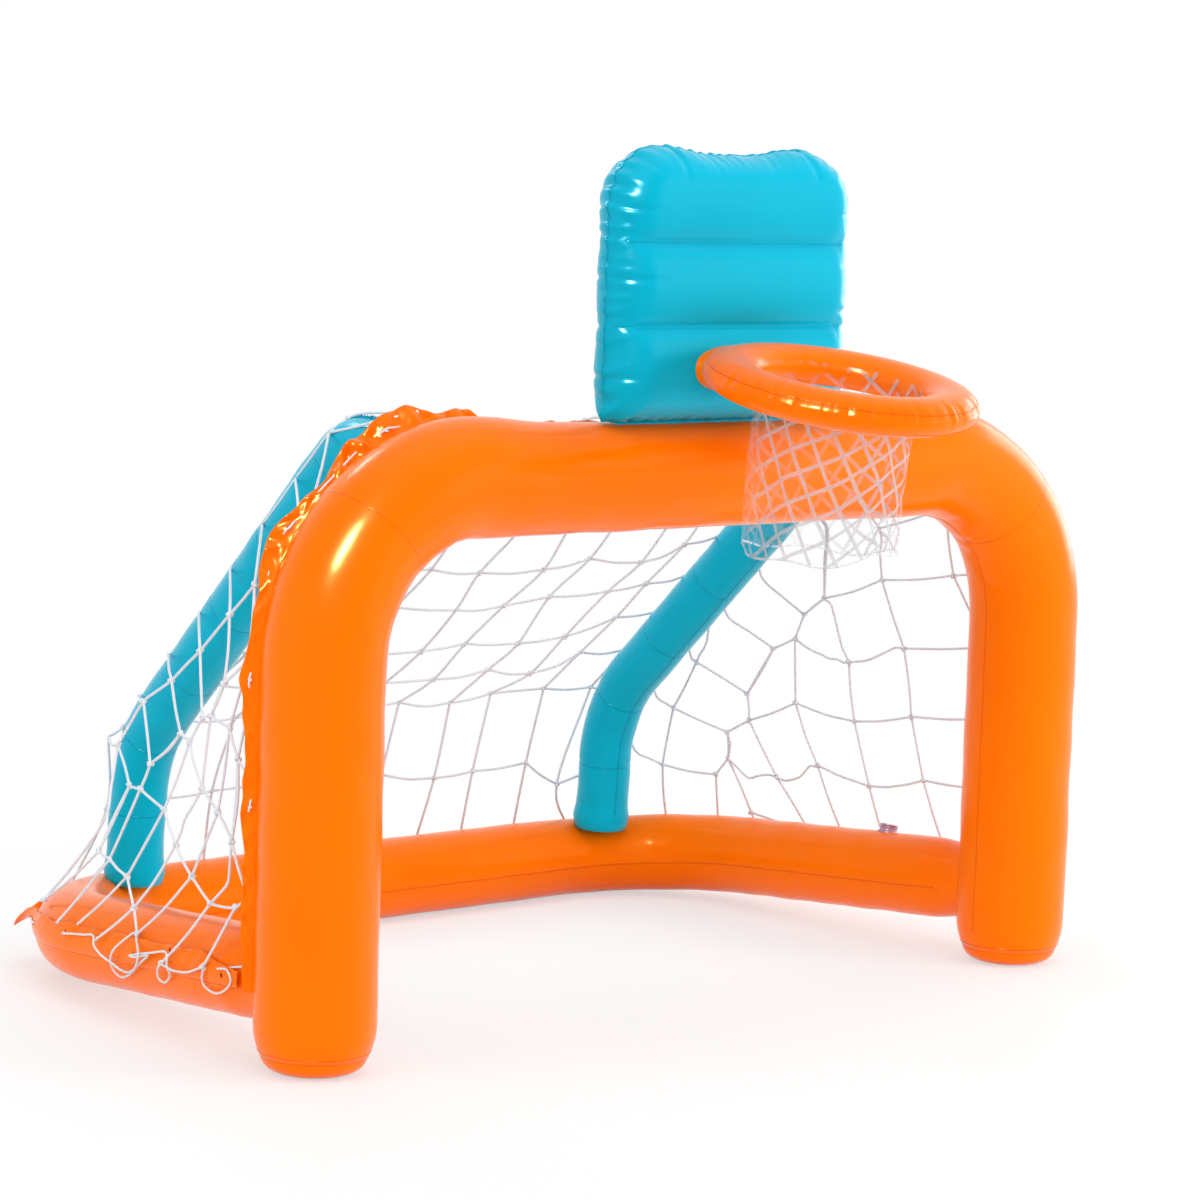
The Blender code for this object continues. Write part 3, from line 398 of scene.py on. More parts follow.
def unit(vectors: np.ndarray) -> np.ndarray:
    """The vectors, each with a length of 1."""
    return vectors / np.linalg.norm(vectors, axis=-1, keepdims=True)


def directions(points: np.ndarray, closed: bool = False) -> np.ndarray:
    """The way a line runs at each of its points."""
    return unit(np.roll(points, -1, 0) - np.roll(points, 1, 0) if closed else np.gradient(points, axis=0))


def distances(points: np.ndarray) -> np.ndarray:
    """How far along a line each of its points lies."""
    return np.concatenate([[0], np.cumsum(np.linalg.norm(np.diff(points, axis=0), axis=1))])


def select_none() -> None:
    """Leaves nothing selected, and no mode but object mode."""
    if bpy.context.object and bpy.context.object.mode != "OBJECT":
        bpy.ops.object.mode_set(mode="OBJECT")
    bpy.ops.object.select_all(action="DESELECT")


def select_only(obj: bpy.types.Object) -> None:
    """Selects one piece and makes it the active one.

    Args:
        obj: The piece.
    """
    select_none()
    obj.select_set(True)
    bpy.context.view_layer.objects.active = obj


def start_edit(obj: bpy.types.Object) -> None:
    """Opens a piece for editing, with everything in it selected.

    Args:
        obj: The piece.
    """
    select_only(obj)
    bpy.ops.object.mode_set(mode="EDIT")
    bpy.ops.mesh.select_all(action="SELECT")


def end_edit(merge: float = 0.0) -> None:
    """Turns the faces of the piece that is open for editing outwards, and closes it.

    Args:
        merge: The distance within which points become one, or 0 to merge none.
    """
    bpy.ops.mesh.select_all(action="SELECT")
    if merge:
        bpy.ops.mesh.remove_doubles(threshold=merge)
    bpy.ops.mesh.normals_make_consistent(inside=False)
    bpy.ops.object.mode_set(mode="OBJECT")


def link(name: str, data: bpy.types.ID) -> bpy.types.Object:
    """Puts a mesh, a lamp or a camera into the scene.

    Args:
        name: The object's name.
        data: What it shows.

    Returns:
        The object.
    """
    obj = bpy.data.objects.new(name, data)
    bpy.context.scene.collection.objects.link(obj)
    return obj


def new_piece(name: str, points: list, faces: list, edges: Sequence[tuple[int, int]] = ()) -> bpy.types.Object:
    """Makes a piece out of points.

    Args:
        name: The piece's name.
        points: X, Y and Z of each point.
        faces: The points' numbers round each face.
        edges: The points' numbers at both ends of each edge that no face has.

    Returns:
        The piece.
    """
    mesh = bpy.data.meshes.new(name)
    mesh.from_pydata(points, edges, faces)
    return link(name, mesh)


def settle(obj: bpy.types.Object, name: str) -> bpy.types.Object:
    """Names a piece and moves its place into its mesh.

    Args:
        obj: The piece.
        name: Its name.

    Returns:
        The same piece.
    """
    select_only(obj)
    obj.name = name
    obj.data.name = name
    bpy.ops.object.transform_apply(location=True, rotation=True, scale=True)
    return obj


def primitive(add: Callable[..., set[str]], name: str, scale: tuple[float, float, float] = (1, 1, 1),
              **settings: object) -> bpy.types.Object:
    """Adds one of Blender's simple meshes as a piece.

    Args:
        add: Blender's operator that adds the mesh.
        name: The piece's name.
        scale: Its stretch in X, Y and Z.
        settings: What the operator takes.

    Returns:
        The piece.
    """
    select_none()
    add(**settings)
    bpy.context.object.scale = scale
    return settle(bpy.context.object, name)


def join(pieces: Sequence[bpy.types.Object], name: str) -> bpy.types.Object:
    """Joins pieces into the first one.

    Args:
        pieces: The pieces.
        name: The name of what they become.

    Returns:
        The joined piece.
    """
    select_only(pieces[0])
    for piece in pieces:
        piece.select_set(True)
    if len(pieces) > 1:
        bpy.ops.object.join()
    return settle(bpy.context.object, name)


def apply_modifier(obj: bpy.types.Object, kind: str, **settings: object) -> None:
    """Adds a modifier and applies it.

    Args:
        obj: The piece.
        kind: Blender's name of the modifier's type.
        settings: The modifier's own properties.
    """
    select_only(obj)
    modifier = obj.modifiers.new(kind.lower(), kind)
    for name, value in settings.items():
        setattr(modifier, name, value)
    bpy.ops.object.modifier_apply(modifier=modifier.name)


def boolean(obj: bpy.types.Object, tool: bpy.types.Object, operation: str) -> None:
    """Joins a tool's volume to a piece or cuts it out, and removes the tool."""
    apply_modifier(obj, "BOOLEAN", operation=operation, solver="EXACT", object=tool)
    bpy.data.objects.remove(tool)


def read_rows(rows: bpy.types.bpy_prop_collection, name: str) -> np.ndarray:
    """Reads a vector from each of a mesh's points.

    Args:
        rows: The mesh's vertices or their normals.
        name: The name under which one of them holds its vector.

    Returns:
        The vectors as rows of X, Y and Z.
    """
    values = np.empty(len(rows) * 3)
    rows.foreach_get(name, values)
    return values.reshape(-1, 3)


def read_points(obj: bpy.types.Object) -> np.ndarray:
    """The piece's points as rows of X, Y and Z."""
    return read_rows(obj.data.vertices, "co")


def write_points(obj: bpy.types.Object, points: np.ndarray) -> None:
    """Puts moved points back into the piece."""
    obj.data.vertices.foreach_set("co", np.ascontiguousarray(points, dtype=np.float32).ravel())
    obj.data.update()


def mark_weld_and_painted_shade(obj: bpy.types.Object, amount: np.ndarray | float) -> None:
    """Stores how much of the darker weld tone each point shows: on weld lines, and as painted shade in the hoop's
    gathers.
    """
    layer = obj.data.attributes.new("weld", "FLOAT", "POINT")
    layer.data.foreach_set("value", np.broadcast_to(amount, len(obj.data.vertices)).astype(np.float32))


def search_tree(obj: bpy.types.Object) -> BVHTree:
    """A search tree of the piece's faces."""
    return BVHTree.FromPolygons([v.co for v in obj.data.vertices], [p.vertices for p in obj.data.polygons])


def loft(name: str, rings: np.ndarray, closed: bool = False, capped: bool = True) -> bpy.types.Object:
    """Makes a closed skin over rings of points that follow each other.

    Args:
        name: The piece's name.
        rings: Points as an array of ring, place in the ring, and X, Y and Z.
        closed: True if the last ring joins the first.
        capped: True if both ends are closed by a face.

    Returns:
        The skin.
    """
    count, sides = rings.shape[:2]
    ids = np.arange(count * sides).reshape(count, sides)
    ahead = np.roll(ids, -1, axis=0) if closed else ids[1:]
    here = ids if closed else ids[:-1]
    faces = np.stack([here, np.roll(here, -1, 1), np.roll(ahead, -1, 1), ahead], axis=-1).reshape(-1, 4).tolist()
    if capped and not closed:
        faces += [ids[0][::-1].tolist(), ids[-1].tolist()]
    return new_piece(name, rings.reshape(-1, 3).tolist(), faces)


def face_outwards(obj: bpy.types.Object) -> None:
    """Turns the faces of a closed piece outwards."""
    start_edit(obj)
    end_edit()


def strand_rings(points: np.ndarray, radius: float | np.ndarray, sides: int, closed: bool = False) -> np.ndarray:
    """The rings of a round strand along points, turned as little as they can be.

    Args:
        points: The middle line.
        radius: The radius, one for all or one for each point.
        sides: How many points a ring has.
        closed: True if the strand is a loop.

    Returns:
        Rings of points, as loft takes them.
    """
    tangents = directions(points, closed)
    across = np.cross(tangents[0], UP if abs(tangents[0][2]) < 0.9 else BACK)
    frames = []
    for tangent in tangents:
        across = unit(across - tangent * (across @ tangent))
        frames.append((across, np.cross(tangent, across)))
    first, second = (np.array([f[k] for f in frames]) for k in (0, 1))
    angles = np.arange(sides) * 2 * math.pi / sides
    wide = np.broadcast_to(np.asarray(radius, float), len(points))[:, None, None]
    return points[:, None] + wide * (
        first[:, None] * np.cos(angles)[None, :, None] + second[:, None] * np.sin(angles)[None, :, None])


def ribbon(name: str, points: np.ndarray, normals: np.ndarray, width: float, height: float,
           closed: bool = False) -> bpy.types.Object:
    """A low welded band on a surface: flat underneath, crowned on top.

    Args:
        name: The piece's name.
        points: Points on the surface along the weld.
        normals: The way the surface faces at each point.
        width: The band's width.
        height: How far it stands out.
        closed: True if it runs round to its start.

    Returns:
        The band.
    """
    across = unit(np.cross(directions(points, closed), normals))
    section = ((-0.5, -0.3), (-0.46, 0.35), (-0.2, 0.95), (0.2, 0.95), (0.46, 0.35), (0.5, -0.3))
    rings = np.stack([points + across * (a * width) + normals * (b * height) for a, b in section], axis=1)
    obj = loft(name, rings, closed)
    face_outwards(obj)
    return obj


class RunKind(Enum):
    """The kinds of stretch in a tube's centre line."""

    STRAIGHT = "straight"
    ARC = "arc"


@dataclass(frozen=True)
class Run:
    """One stretch of a centre line."""

    kind: RunKind
    start: Vector
    end: Vector
    centre: Vector | None = None
    axis: Vector | None = None
    angle: float = 0.0

    @property
    def length(self) -> float:
        """The stretch's length.

        Returns:
            The length.
        """
        if self.kind is RunKind.STRAIGHT:
            return (self.end - self.start).length
        return self.angle * (self.start - self.centre).length

    def at(self, share: float) -> Vector:
        """The point at a share of the stretch.

        Args:
            share: 0 at the stretch's start, 1 at its end.

        Returns:
            The point.
        """
        if self.kind is RunKind.STRAIGHT:
            return self.start.lerp(self.end, share)
        turn = Matrix.Rotation(self.angle * share, 3, self.axis)
        return self.centre + turn @ (self.start - self.centre)


@dataclass(frozen=True)
class Route:
    """A tube's centre line: straight stretches whose inner corners are turned as arcs."""

    corners: tuple[tuple[float, float, float], ...]
    bends: tuple[float, ...]

    @classmethod
    def mirrored(cls, end: tuple[float, float, float], corner: tuple[float, float, float], bend: float) -> "Route":
        """A route in the shape of a U, with its left half as a mirror image of its right half."""
        return cls(((-end[0], *end[1:]), (-corner[0], *corner[1:]), corner, end), (bend, bend))

    def runs(self) -> list[Run]:
        """The stretches in order.

        Returns:
            Straight stretches and arcs by turns.
        """
        points = [Vector(corner) for corner in self.corners]
        runs, last = [], points[0]
        for before, corner, after, radius in zip(points, points[1:], points[2:], self.bends):
            back, ahead = (before - corner).normalized(), (after - corner).normalized()
            half = back.angle(ahead) / 2
            centre = corner + (back + ahead).normalized() * (radius / math.sin(half))
            cut = radius / math.tan(half)
            start, end = corner + back * cut, corner + ahead * cut
            axis = (-back).cross(ahead).normalized()
            runs += [Run(RunKind.STRAIGHT, last, start),
                     Run(RunKind.ARC, start, end, centre, axis, math.pi - 2 * half)]
            last = end
        return [*runs, Run(RunKind.STRAIGHT, last, points[-1])]

    def samples(self, pitch: float) -> np.ndarray:
        """Points along the centre line.

        Args:
            pitch: Roughly how far they are apart.

        Returns:
            The points.
        """
        points = [tuple(self.runs()[0].start)]
        for run in self.runs():
            steps = max(1, round(run.length / pitch))
            points += [tuple(run.at(k / steps)) for k in range(1, steps + 1)]
        return np.array(points)


def extrude_tube(name: str, route: Route, radius: float, sides: int, pitch: float) -> bpy.types.Object:
    """Draws a ring along a route by extruding it down the straight runs and spinning it round the bends.

    Args:
        name: The piece's name.
        route: The centre line.
        radius: The tube's radius.
        sides: The ring's points.
        pitch: The distance between rings.

    Returns:
        The closed tube.
    """
    select_none()
    runs = route.runs()
    turn = (runs[0].end - runs[0].start).to_track_quat("Z", "Y").to_euler()
    bpy.ops.mesh.primitive_circle_add(vertices=sides, radius=radius, location=runs[0].start, rotation=turn)
    obj = bpy.context.object
    start_edit(obj)
    bpy.ops.mesh.edge_face_add()
    for run in runs:
        steps = max(4, round(run.length / pitch))
        if run.kind is RunKind.STRAIGHT:
            step = tuple((run.end - run.start) / steps)
            for _ in range(steps):
                bpy.ops.mesh.extrude_region_move(TRANSFORM_OT_translate={"value": step})
        else:
            bpy.ops.mesh.spin(steps=steps, angle=-run.angle, center=run.centre, axis=run.axis)
    end_edit(merge=0.00005)
    return settle(obj, name)


class Line:
    """A tube's centre line as points, with its direction and its distance from the start at each."""

    def __init__(self, points: np.ndarray) -> None:
        """Measures the line.

        Args:
            points: Its points.
        """
        self.points = points
        self.tangents = directions(points)
        self.along = distances(points)
        self.length = float(self.along[-1])

    def at(self, s: np.ndarray | float) -> tuple[np.ndarray, np.ndarray]:
        """The line at distances from its start.

        Args:
            s: The distances.

        Returns:
            The point and the direction at each.
        """
        point, ahead = (np.stack([np.interp(s, self.along, rows[:, k]) for k in range(3)], -1)
                        for rows in (self.points, self.tangents))
        return point, unit(ahead)


class Chamber:
    """A tube of film round a centre line, whose points know how far along and round it they lie."""

    def __init__(self, name: str, route: Route, radius: float, sides: int, pitch: float,
                 reference: tuple[float, float, float]) -> None:
        """Draws the tube and finds each point's place on it.

        Args:
            name: The piece's name.
            route: The centre line.
            radius: The tube's radius.
            sides: How many points a ring has.
            pitch: The distance between rings.
            reference: The direction from which angles round the tube count.
        """
        self.obj = extrude_tube(name, route, radius, sides, pitch)
        self.line = Line(route.samples(ROUTE_PITCH))
        self.reference = np.array(reference, float)
        self.radius = radius
        self.tree: BVHTree | None = None
        tree = KDTree(len(self.line.points))
        for index, point in enumerate(self.line.points):
            tree.insert(point, index)
        tree.balance()
        self.points = read_points(self.obj)
        nearest = np.array([tree.find(point)[1] for point in self.points])
        tangent = self.line.tangents[nearest]
        slip = np.sum((self.points - self.line.points[nearest]) * tangent, axis=1)
        self.s = self.line.along[nearest] + slip
        self.centre = self.line.points[nearest] + tangent * slip[:, None]
        self.radial = self.points - self.centre
        self.radial /= np.maximum(np.linalg.norm(self.radial, axis=1, keepdims=True), 1e-9)
        side = np.cross(tangent, self.reference)
        self.theta = np.arctan2(np.sum(self.radial * side, 1), self.radial @ self.reference)

    def push(self, amount: np.ndarray) -> None:
        """Moves the wall's points outwards by an amount each."""
        self.points += self.radial * amount[:, None]

    def freeze(self) -> None:
        """Writes the moved points back, so that weld lines can be laid on the wall."""
        write_points(self.obj, self.points)
        self.tree = search_tree(self.obj)

    def finish(self, lines: Sequence[bpy.types.Object]) -> bpy.types.Object:
        """Joins weld lines to the wall and returns the whole piece."""
        mark_weld_and_painted_shade(self.obj, 0.0)
        return join([self.obj, *lines], self.obj.name)

    def weld(self, name: str, places: Iterable[tuple[float, float]], width: float, height: float,
             closed: bool = False) -> bpy.types.Object:
        """A weld line on the wall.

        Args:
            name: The line's name.
            places: Distances along the tube and angles round it.
            width: The line's width.
            height: How far it stands out.
            closed: True if it runs round to its start.

        Returns:
            The line as a piece of its own.
        """
        points, normals = [], []
        for s, theta in places:
            point, tangent = self.line.at(s)
            side = unit(np.cross(tangent, self.reference))
            ahead = np.cross(side, tangent)
            ray = Vector(ahead * math.cos(theta) + side * math.sin(theta))
            hit, normal, _, _ = self.tree.ray_cast(Vector(point) + ray * self.radius * 2.0, -ray)
            points.append(tuple(hit))
            normals.append(tuple(normal))
        line = ribbon(name, np.array(points), np.array(normals), width, height, closed)
        mark_weld_and_painted_shade(line, 1.0)
        return line

    def ring_weld(self, name: str, s: float, width: float, height: float, steps: int) -> bpy.types.Object:
        """A weld line once round the tube, at a distance from its start."""
        around = np.linspace(-math.pi, math.pi, steps + 1)[:-1]
        return self.weld(name, [(s, theta) for theta in around], width, height, True)

    def long_weld(self, name: str, run: np.ndarray, theta: float, width: float, height: float) -> bpy.types.Object:
        """A weld line along the tube, at an angle round it."""
        return self.weld(name, [(s, theta) for s in run], width, height)


@dataclass
class FrontArch:
    """The front tube, an inverted U whose legs end in welded caps."""

    radius: float = 0.0815
    axis_z: float = 0.772
    bend: float = 0.24
    leg_length: float = 0.51
    bend_length: float = 0.377
    crossbar_length: float = 0.845
    foot_z: float = 0.022
    foot_r: float = 0.0715
    flat_r: float = 0.040
    rounding: float = 0.045
    saddle_dip: float = 0.012
    saddle_flat: float = 0.25
    saddle_fade: float = 0.44
    folds: tuple[tuple[float, float, float], ...] = (
        (0.22, 0.0016, 0.012), (0.48, 0.0026, 0.010), (0.60, 0.0014, 0.012), (0.80, 0.0018, 0.012))
    corner_weld: tuple[float, float] = (0.0018, 0.0002)
    cap_weld: tuple[float, float] = (0.0022, 0.0007)
    cap_weld_place: float = 0.007
    inner_weld: tuple[float, float] = (0.0022, 0.0006)
    around: int = 96
    sides: int = 80
    pitch: float = 0.011

    def route(self) -> Route:
        """The arch's centre line, from its left foot to its right one."""
        end, corner = (HALF_SPACING, ARCH_Y, self.foot_z), (HALF_SPACING, ARCH_Y, self.axis_z)
        return Route.mirrored(end, corner, self.bend)

    def shape(self, wall: Chamber) -> None:
        """Draws in the leg ends, sinks the saddle and adds the soft folds inside the bends.

        Args:
            wall: The tube's wall.
        """
        x, z = wall.centre[:, 0], wall.centre[:, 2]
        fall = np.clip((self.foot_z + self.rounding - z) / self.rounding, 0, 1)
        ends = (self.radius - self.foot_r) * fall ** 2.2
        sunk = 1 - smooth(np.abs(x), self.saddle_flat, self.saddle_fade)
        sunk *= z > self.axis_z - self.bend
        wall.push(-ends - sunk * self.saddle_dip / 2)
        wall.points[:, 2] -= sunk * self.saddle_dip / 2
        bends = self.leg_length, self.leg_length + self.bend_length + self.crossbar_length
        folds = dimples(wall.s, [(start + share * self.bend_length, depth, width)
                                 for start in bends for share, depth, width in self.folds])
        inner = np.clip(np.cos(wall.theta - math.pi / 2 * self.inner_sign(wall)), 0, 1) ** 6
        wall.push(folds * inner + 0.0006 * wobble(wall.s + 0.03 * wall.theta, 0.16, 3))

    @staticmethod
    def inner_sign(wall: Chamber) -> float:
        """Which side of the tube faces into the goal, as the sign of its angle."""
        side = np.cross(wall.line.tangents[len(wall.line.tangents) // 2], wall.reference)
        return -1.0 if side[2] > 0 else 1.0

    def weld_lines(self, wall: Chamber) -> list[bpy.types.Object]:
        """The rings across both corners, the rings over the caps and the line inside the goal.

        Args:
            wall: The tube's wall.

        Returns:
            The lines.
        """
        total = wall.line.length
        corner = self.leg_length + self.bend_length / 2
        lines = []
        for name, place, size in (
                ("corner_weld", corner, self.corner_weld), ("cap_weld", self.cap_weld_place, self.cap_weld)):
            lines += [wall.ring_weld(name, s, *size, self.around) for s in (place, total - place)]
        inner = math.pi / 2 * self.inner_sign(wall)
        return [*lines, wall.long_weld("inner_weld", np.arange(0.02, total - 0.02, 0.01), inner, *self.inner_weld)]

    def cap(self, side: Side) -> bpy.types.Object:
        """A leg's end cap, extruded down from its seam and drawn in to the flat on which it stands.

        Args:
            side: The leg's side.

        Returns:
            The cap.
        """
        select_none()
        middle = np.array((side.value * HALF_SPACING, ARCH_Y))
        top, edge = self.foot_z + 0.0015, self.foot_r - 0.0006
        bpy.ops.mesh.primitive_circle_add(
            vertices=self.around, radius=edge, fill_type="NGON", location=(*middle, top))
        obj = bpy.context.object
        start_edit(obj)
        width, height = edge, top
        for angle in np.linspace(0, math.pi / 2, 9)[1:]:
            new_width = self.flat_r + (edge - self.flat_r) * math.cos(angle)
            new_height = top * (1 - math.sin(angle))
            bpy.ops.mesh.extrude_region_move(TRANSFORM_OT_translate={"value": (0, 0, new_height - height)})
            bpy.ops.transform.resize(value=(new_width / width,) * 2 + (1,))
            width, height = new_width, new_height
        bpy.ops.mesh.inset(thickness=0.012)
        end_edit()
        obj = settle(obj, f"leg_end_film_{side.name.lower()}")
        points = read_points(obj)
        offset = points[:, :2] - middle
        angle = np.arctan2(offset[:, 1], offset[:, 0])
        rise = np.clip(points[:, 2] / top, 0, 1)
        pucker = 0.0009 * np.sin(angle * 24 + 2 * np.sin(3 * angle)) * rise ** 0.5 * (1 - rise)
        points[:, :2] += offset / np.maximum(np.linalg.norm(offset, axis=1, keepdims=True), 1e-6) * pucker[:, None]
        write_points(obj, points)
        mark_weld_and_painted_shade(obj, 0.0)
        return obj

    def build(self, palette: Palette) -> None:
        """Builds the tube, its weld lines and both caps.

        Args:
            palette: The materials.
        """
        wall = Chamber("front_arch_film", self.route(), self.radius, self.sides, self.pitch, (0, 1, 0))
        self.shape(wall)
        wall.freeze()
        palette.place(wall.finish(self.weld_lines(wall)), Slot.ORANGE, FRAME_BODY, ["front_arch"])
        for side in Side:
            palette.place(self.cap(side), Slot.ORANGE, FRAME_BODY, [f"leg_cap_{side.name.lower()}"])


@dataclass
class BaseTube:
    """The tube on the ground, a U behind the legs."""

    radius: float = 0.062
    depth: float = 0.767
    half_width: float = 0.62
    bend: float = 0.24
    front_z: float = 0.115
    neck: float = 0.90
    neck_length: float = 0.07
    corner_place: float = 0.70
    folds: tuple[tuple[float, float, float], ...] = (
        (-0.10, 0.0018, 0.010), (-0.03, 0.0030, 0.008), (0.02, 0.0022, 0.007), (0.09, 0.0020, 0.011))
    dent: float = 0.005
    dent_r: float = 0.065
    inner_weld: tuple[float, float] = (0.0026, 0.0007)
    inner_weld_angle: float = math.pi / 2 + 0.12
    sides: int = 64
    pitch: float = 0.010

    def route(self) -> Route:
        """The base tube's centre line, from leg to leg."""
        end, corner = (HALF_SPACING, ARCH_Y, self.front_z), (self.half_width, ARCH_Y + self.depth, self.radius)
        return Route.mirrored(end, corner, self.bend)

    def build(self, palette: Palette) -> None:
        """Builds the tube with its drawn-in ends, the dents under the struts and its weld line.

        Args:
            palette: The materials.
        """
        wall = Chamber("base_tube_film", self.route(), self.radius, self.sides, self.pitch, (0, 0, 1))
        away = (wall.centre[:, 1] - ARCH_Y - FrontArch.radius) / self.neck_length
        wall.push(-self.radius * (1 - self.neck) * (1 - smooth(away, 0, 1)))
        total = wall.line.length
        corners = self.corner_place, total - self.corner_place
        folds = dimples(wall.s, [(corner + shift, depth, width)
                                 for corner in corners for shift, depth, width in self.folds])
        inner = np.clip(-wall.radial @ BACK, 0, 1) ** 3 * (np.abs(wall.s - total / 2) < total / 2 - 0.5)
        wall.push(folds * inner + 0.0003 * wobble(wall.s, 0.13, 8))
        for side in Side:
            gap = np.hypot(wall.points[:, 0] - side.value * Strut.foot_x, wall.points[:, 1] - (ARCH_Y + Strut.foot_y))
            wall.points[:, 2] -= self.dent * hump(gap, 0, self.dent_r) * (wall.points[:, 2] > self.radius)
        wall.points[:, 2] = np.maximum(wall.points[:, 2], 0.0004)
        wall.freeze()
        run = np.arange(0.09, total - 0.09, 0.01)
        line = wall.long_weld("base_inner_weld", run, self.inner_weld_angle, *self.inner_weld)
        palette.place(wall.finish([line]), Slot.ORANGE, FRAME_BODY, ["base_tube"])


@dataclass
class Strut:
    """One of the two tubes that prop the arch from behind."""

    side: Side
    radius: float = 0.042
    foot_x: float = 0.457
    top_x: float = 0.467
    foot_y: float = 0.720
    foot_z: float = 0.115
    bend_y: float = 0.708
    bend_z: float = 0.318
    knee_y: float = 0.208
    top_z: float = 0.797
    bend: float = 0.22
    knee_bend: float = 0.08
    rings: tuple[float, ...] = (0.105, 0.225, 0.375, 0.525, 0.675)
    upper_rings: tuple[float, ...] = (0.235, 0.135)
    ring_weld: tuple[float, float] = (0.0022, 0.0005)
    long_weld: tuple[float, float] = (0.0024, 0.0006)
    long_weld_angle: float = -1.75
    knee_seam: tuple[float, float] = (0.0020, 0.0030)
    around: int = 64
    sides: int = 56
    pitch: float = 0.009

    def route(self) -> Route:
        """The strut's centre line.

        Returns:
            The line from the strut's foot to the arch.
        """
        sign = self.side.value
        return Route((
            (sign * self.foot_x, ARCH_Y + self.foot_y, self.foot_z),
            (sign * self.foot_x, ARCH_Y + self.bend_y, self.bend_z),
            (sign * self.top_x, ARCH_Y + self.knee_y, self.top_z),
            (sign * self.top_x, ARCH_Y, self.top_z)), (self.bend, self.knee_bend))

    def build(self, palette: Palette) -> None:
        """Builds the tube with its ring welds, its long weld and the gathered seam over its knee.

        Args:
            palette: The materials.
        """
        node = f"strut_{self.side.name.lower()}"
        name = f"strut_film_{self.side.name.lower()}"
        wall = Chamber(name, self.route(), self.radius, self.sides, self.pitch, (self.side.value, 0, 0))
        total = wall.line.length
        rings = [*self.rings, *(total - place for place in self.upper_rings)]
        wall.push(dimples(wall.s, [(place, 0.0011, 0.006) for place in rings])
                  + 0.0005 * wobble(wall.s + 0.02 * wall.theta, 0.09, 11))
        wall.push(0.0035 * hump(wall.s, 0.018, 0.012))
        wall.freeze()
        lines = [wall.ring_weld("ring_weld", s, *self.ring_weld, self.around) for s in rings]
        run = np.arange(0.03, total - 0.09, 0.008)
        lines.append(wall.long_weld("long_weld", run, self.long_weld_angle, *self.long_weld))
        above = math.pi / 2 * np.sign(np.cross(wall.line.tangents[-9], wall.reference)[2])
        knee = np.arange(total - 0.30, total - 0.075, 0.0013)
        seam = wall.long_weld("knee_seam", knee, above, *self.knee_seam)
        points = read_points(seam)
        points[:, 2] += np.maximum(0.0018 * wobble(points[:, 1] + points[:, 2], 0.0065, 61, 3), -0.001)
        write_points(seam, points)
        palette.place(wall.finish([*lines, seam]), Slot.CYAN, FRAME_BODY, [node])


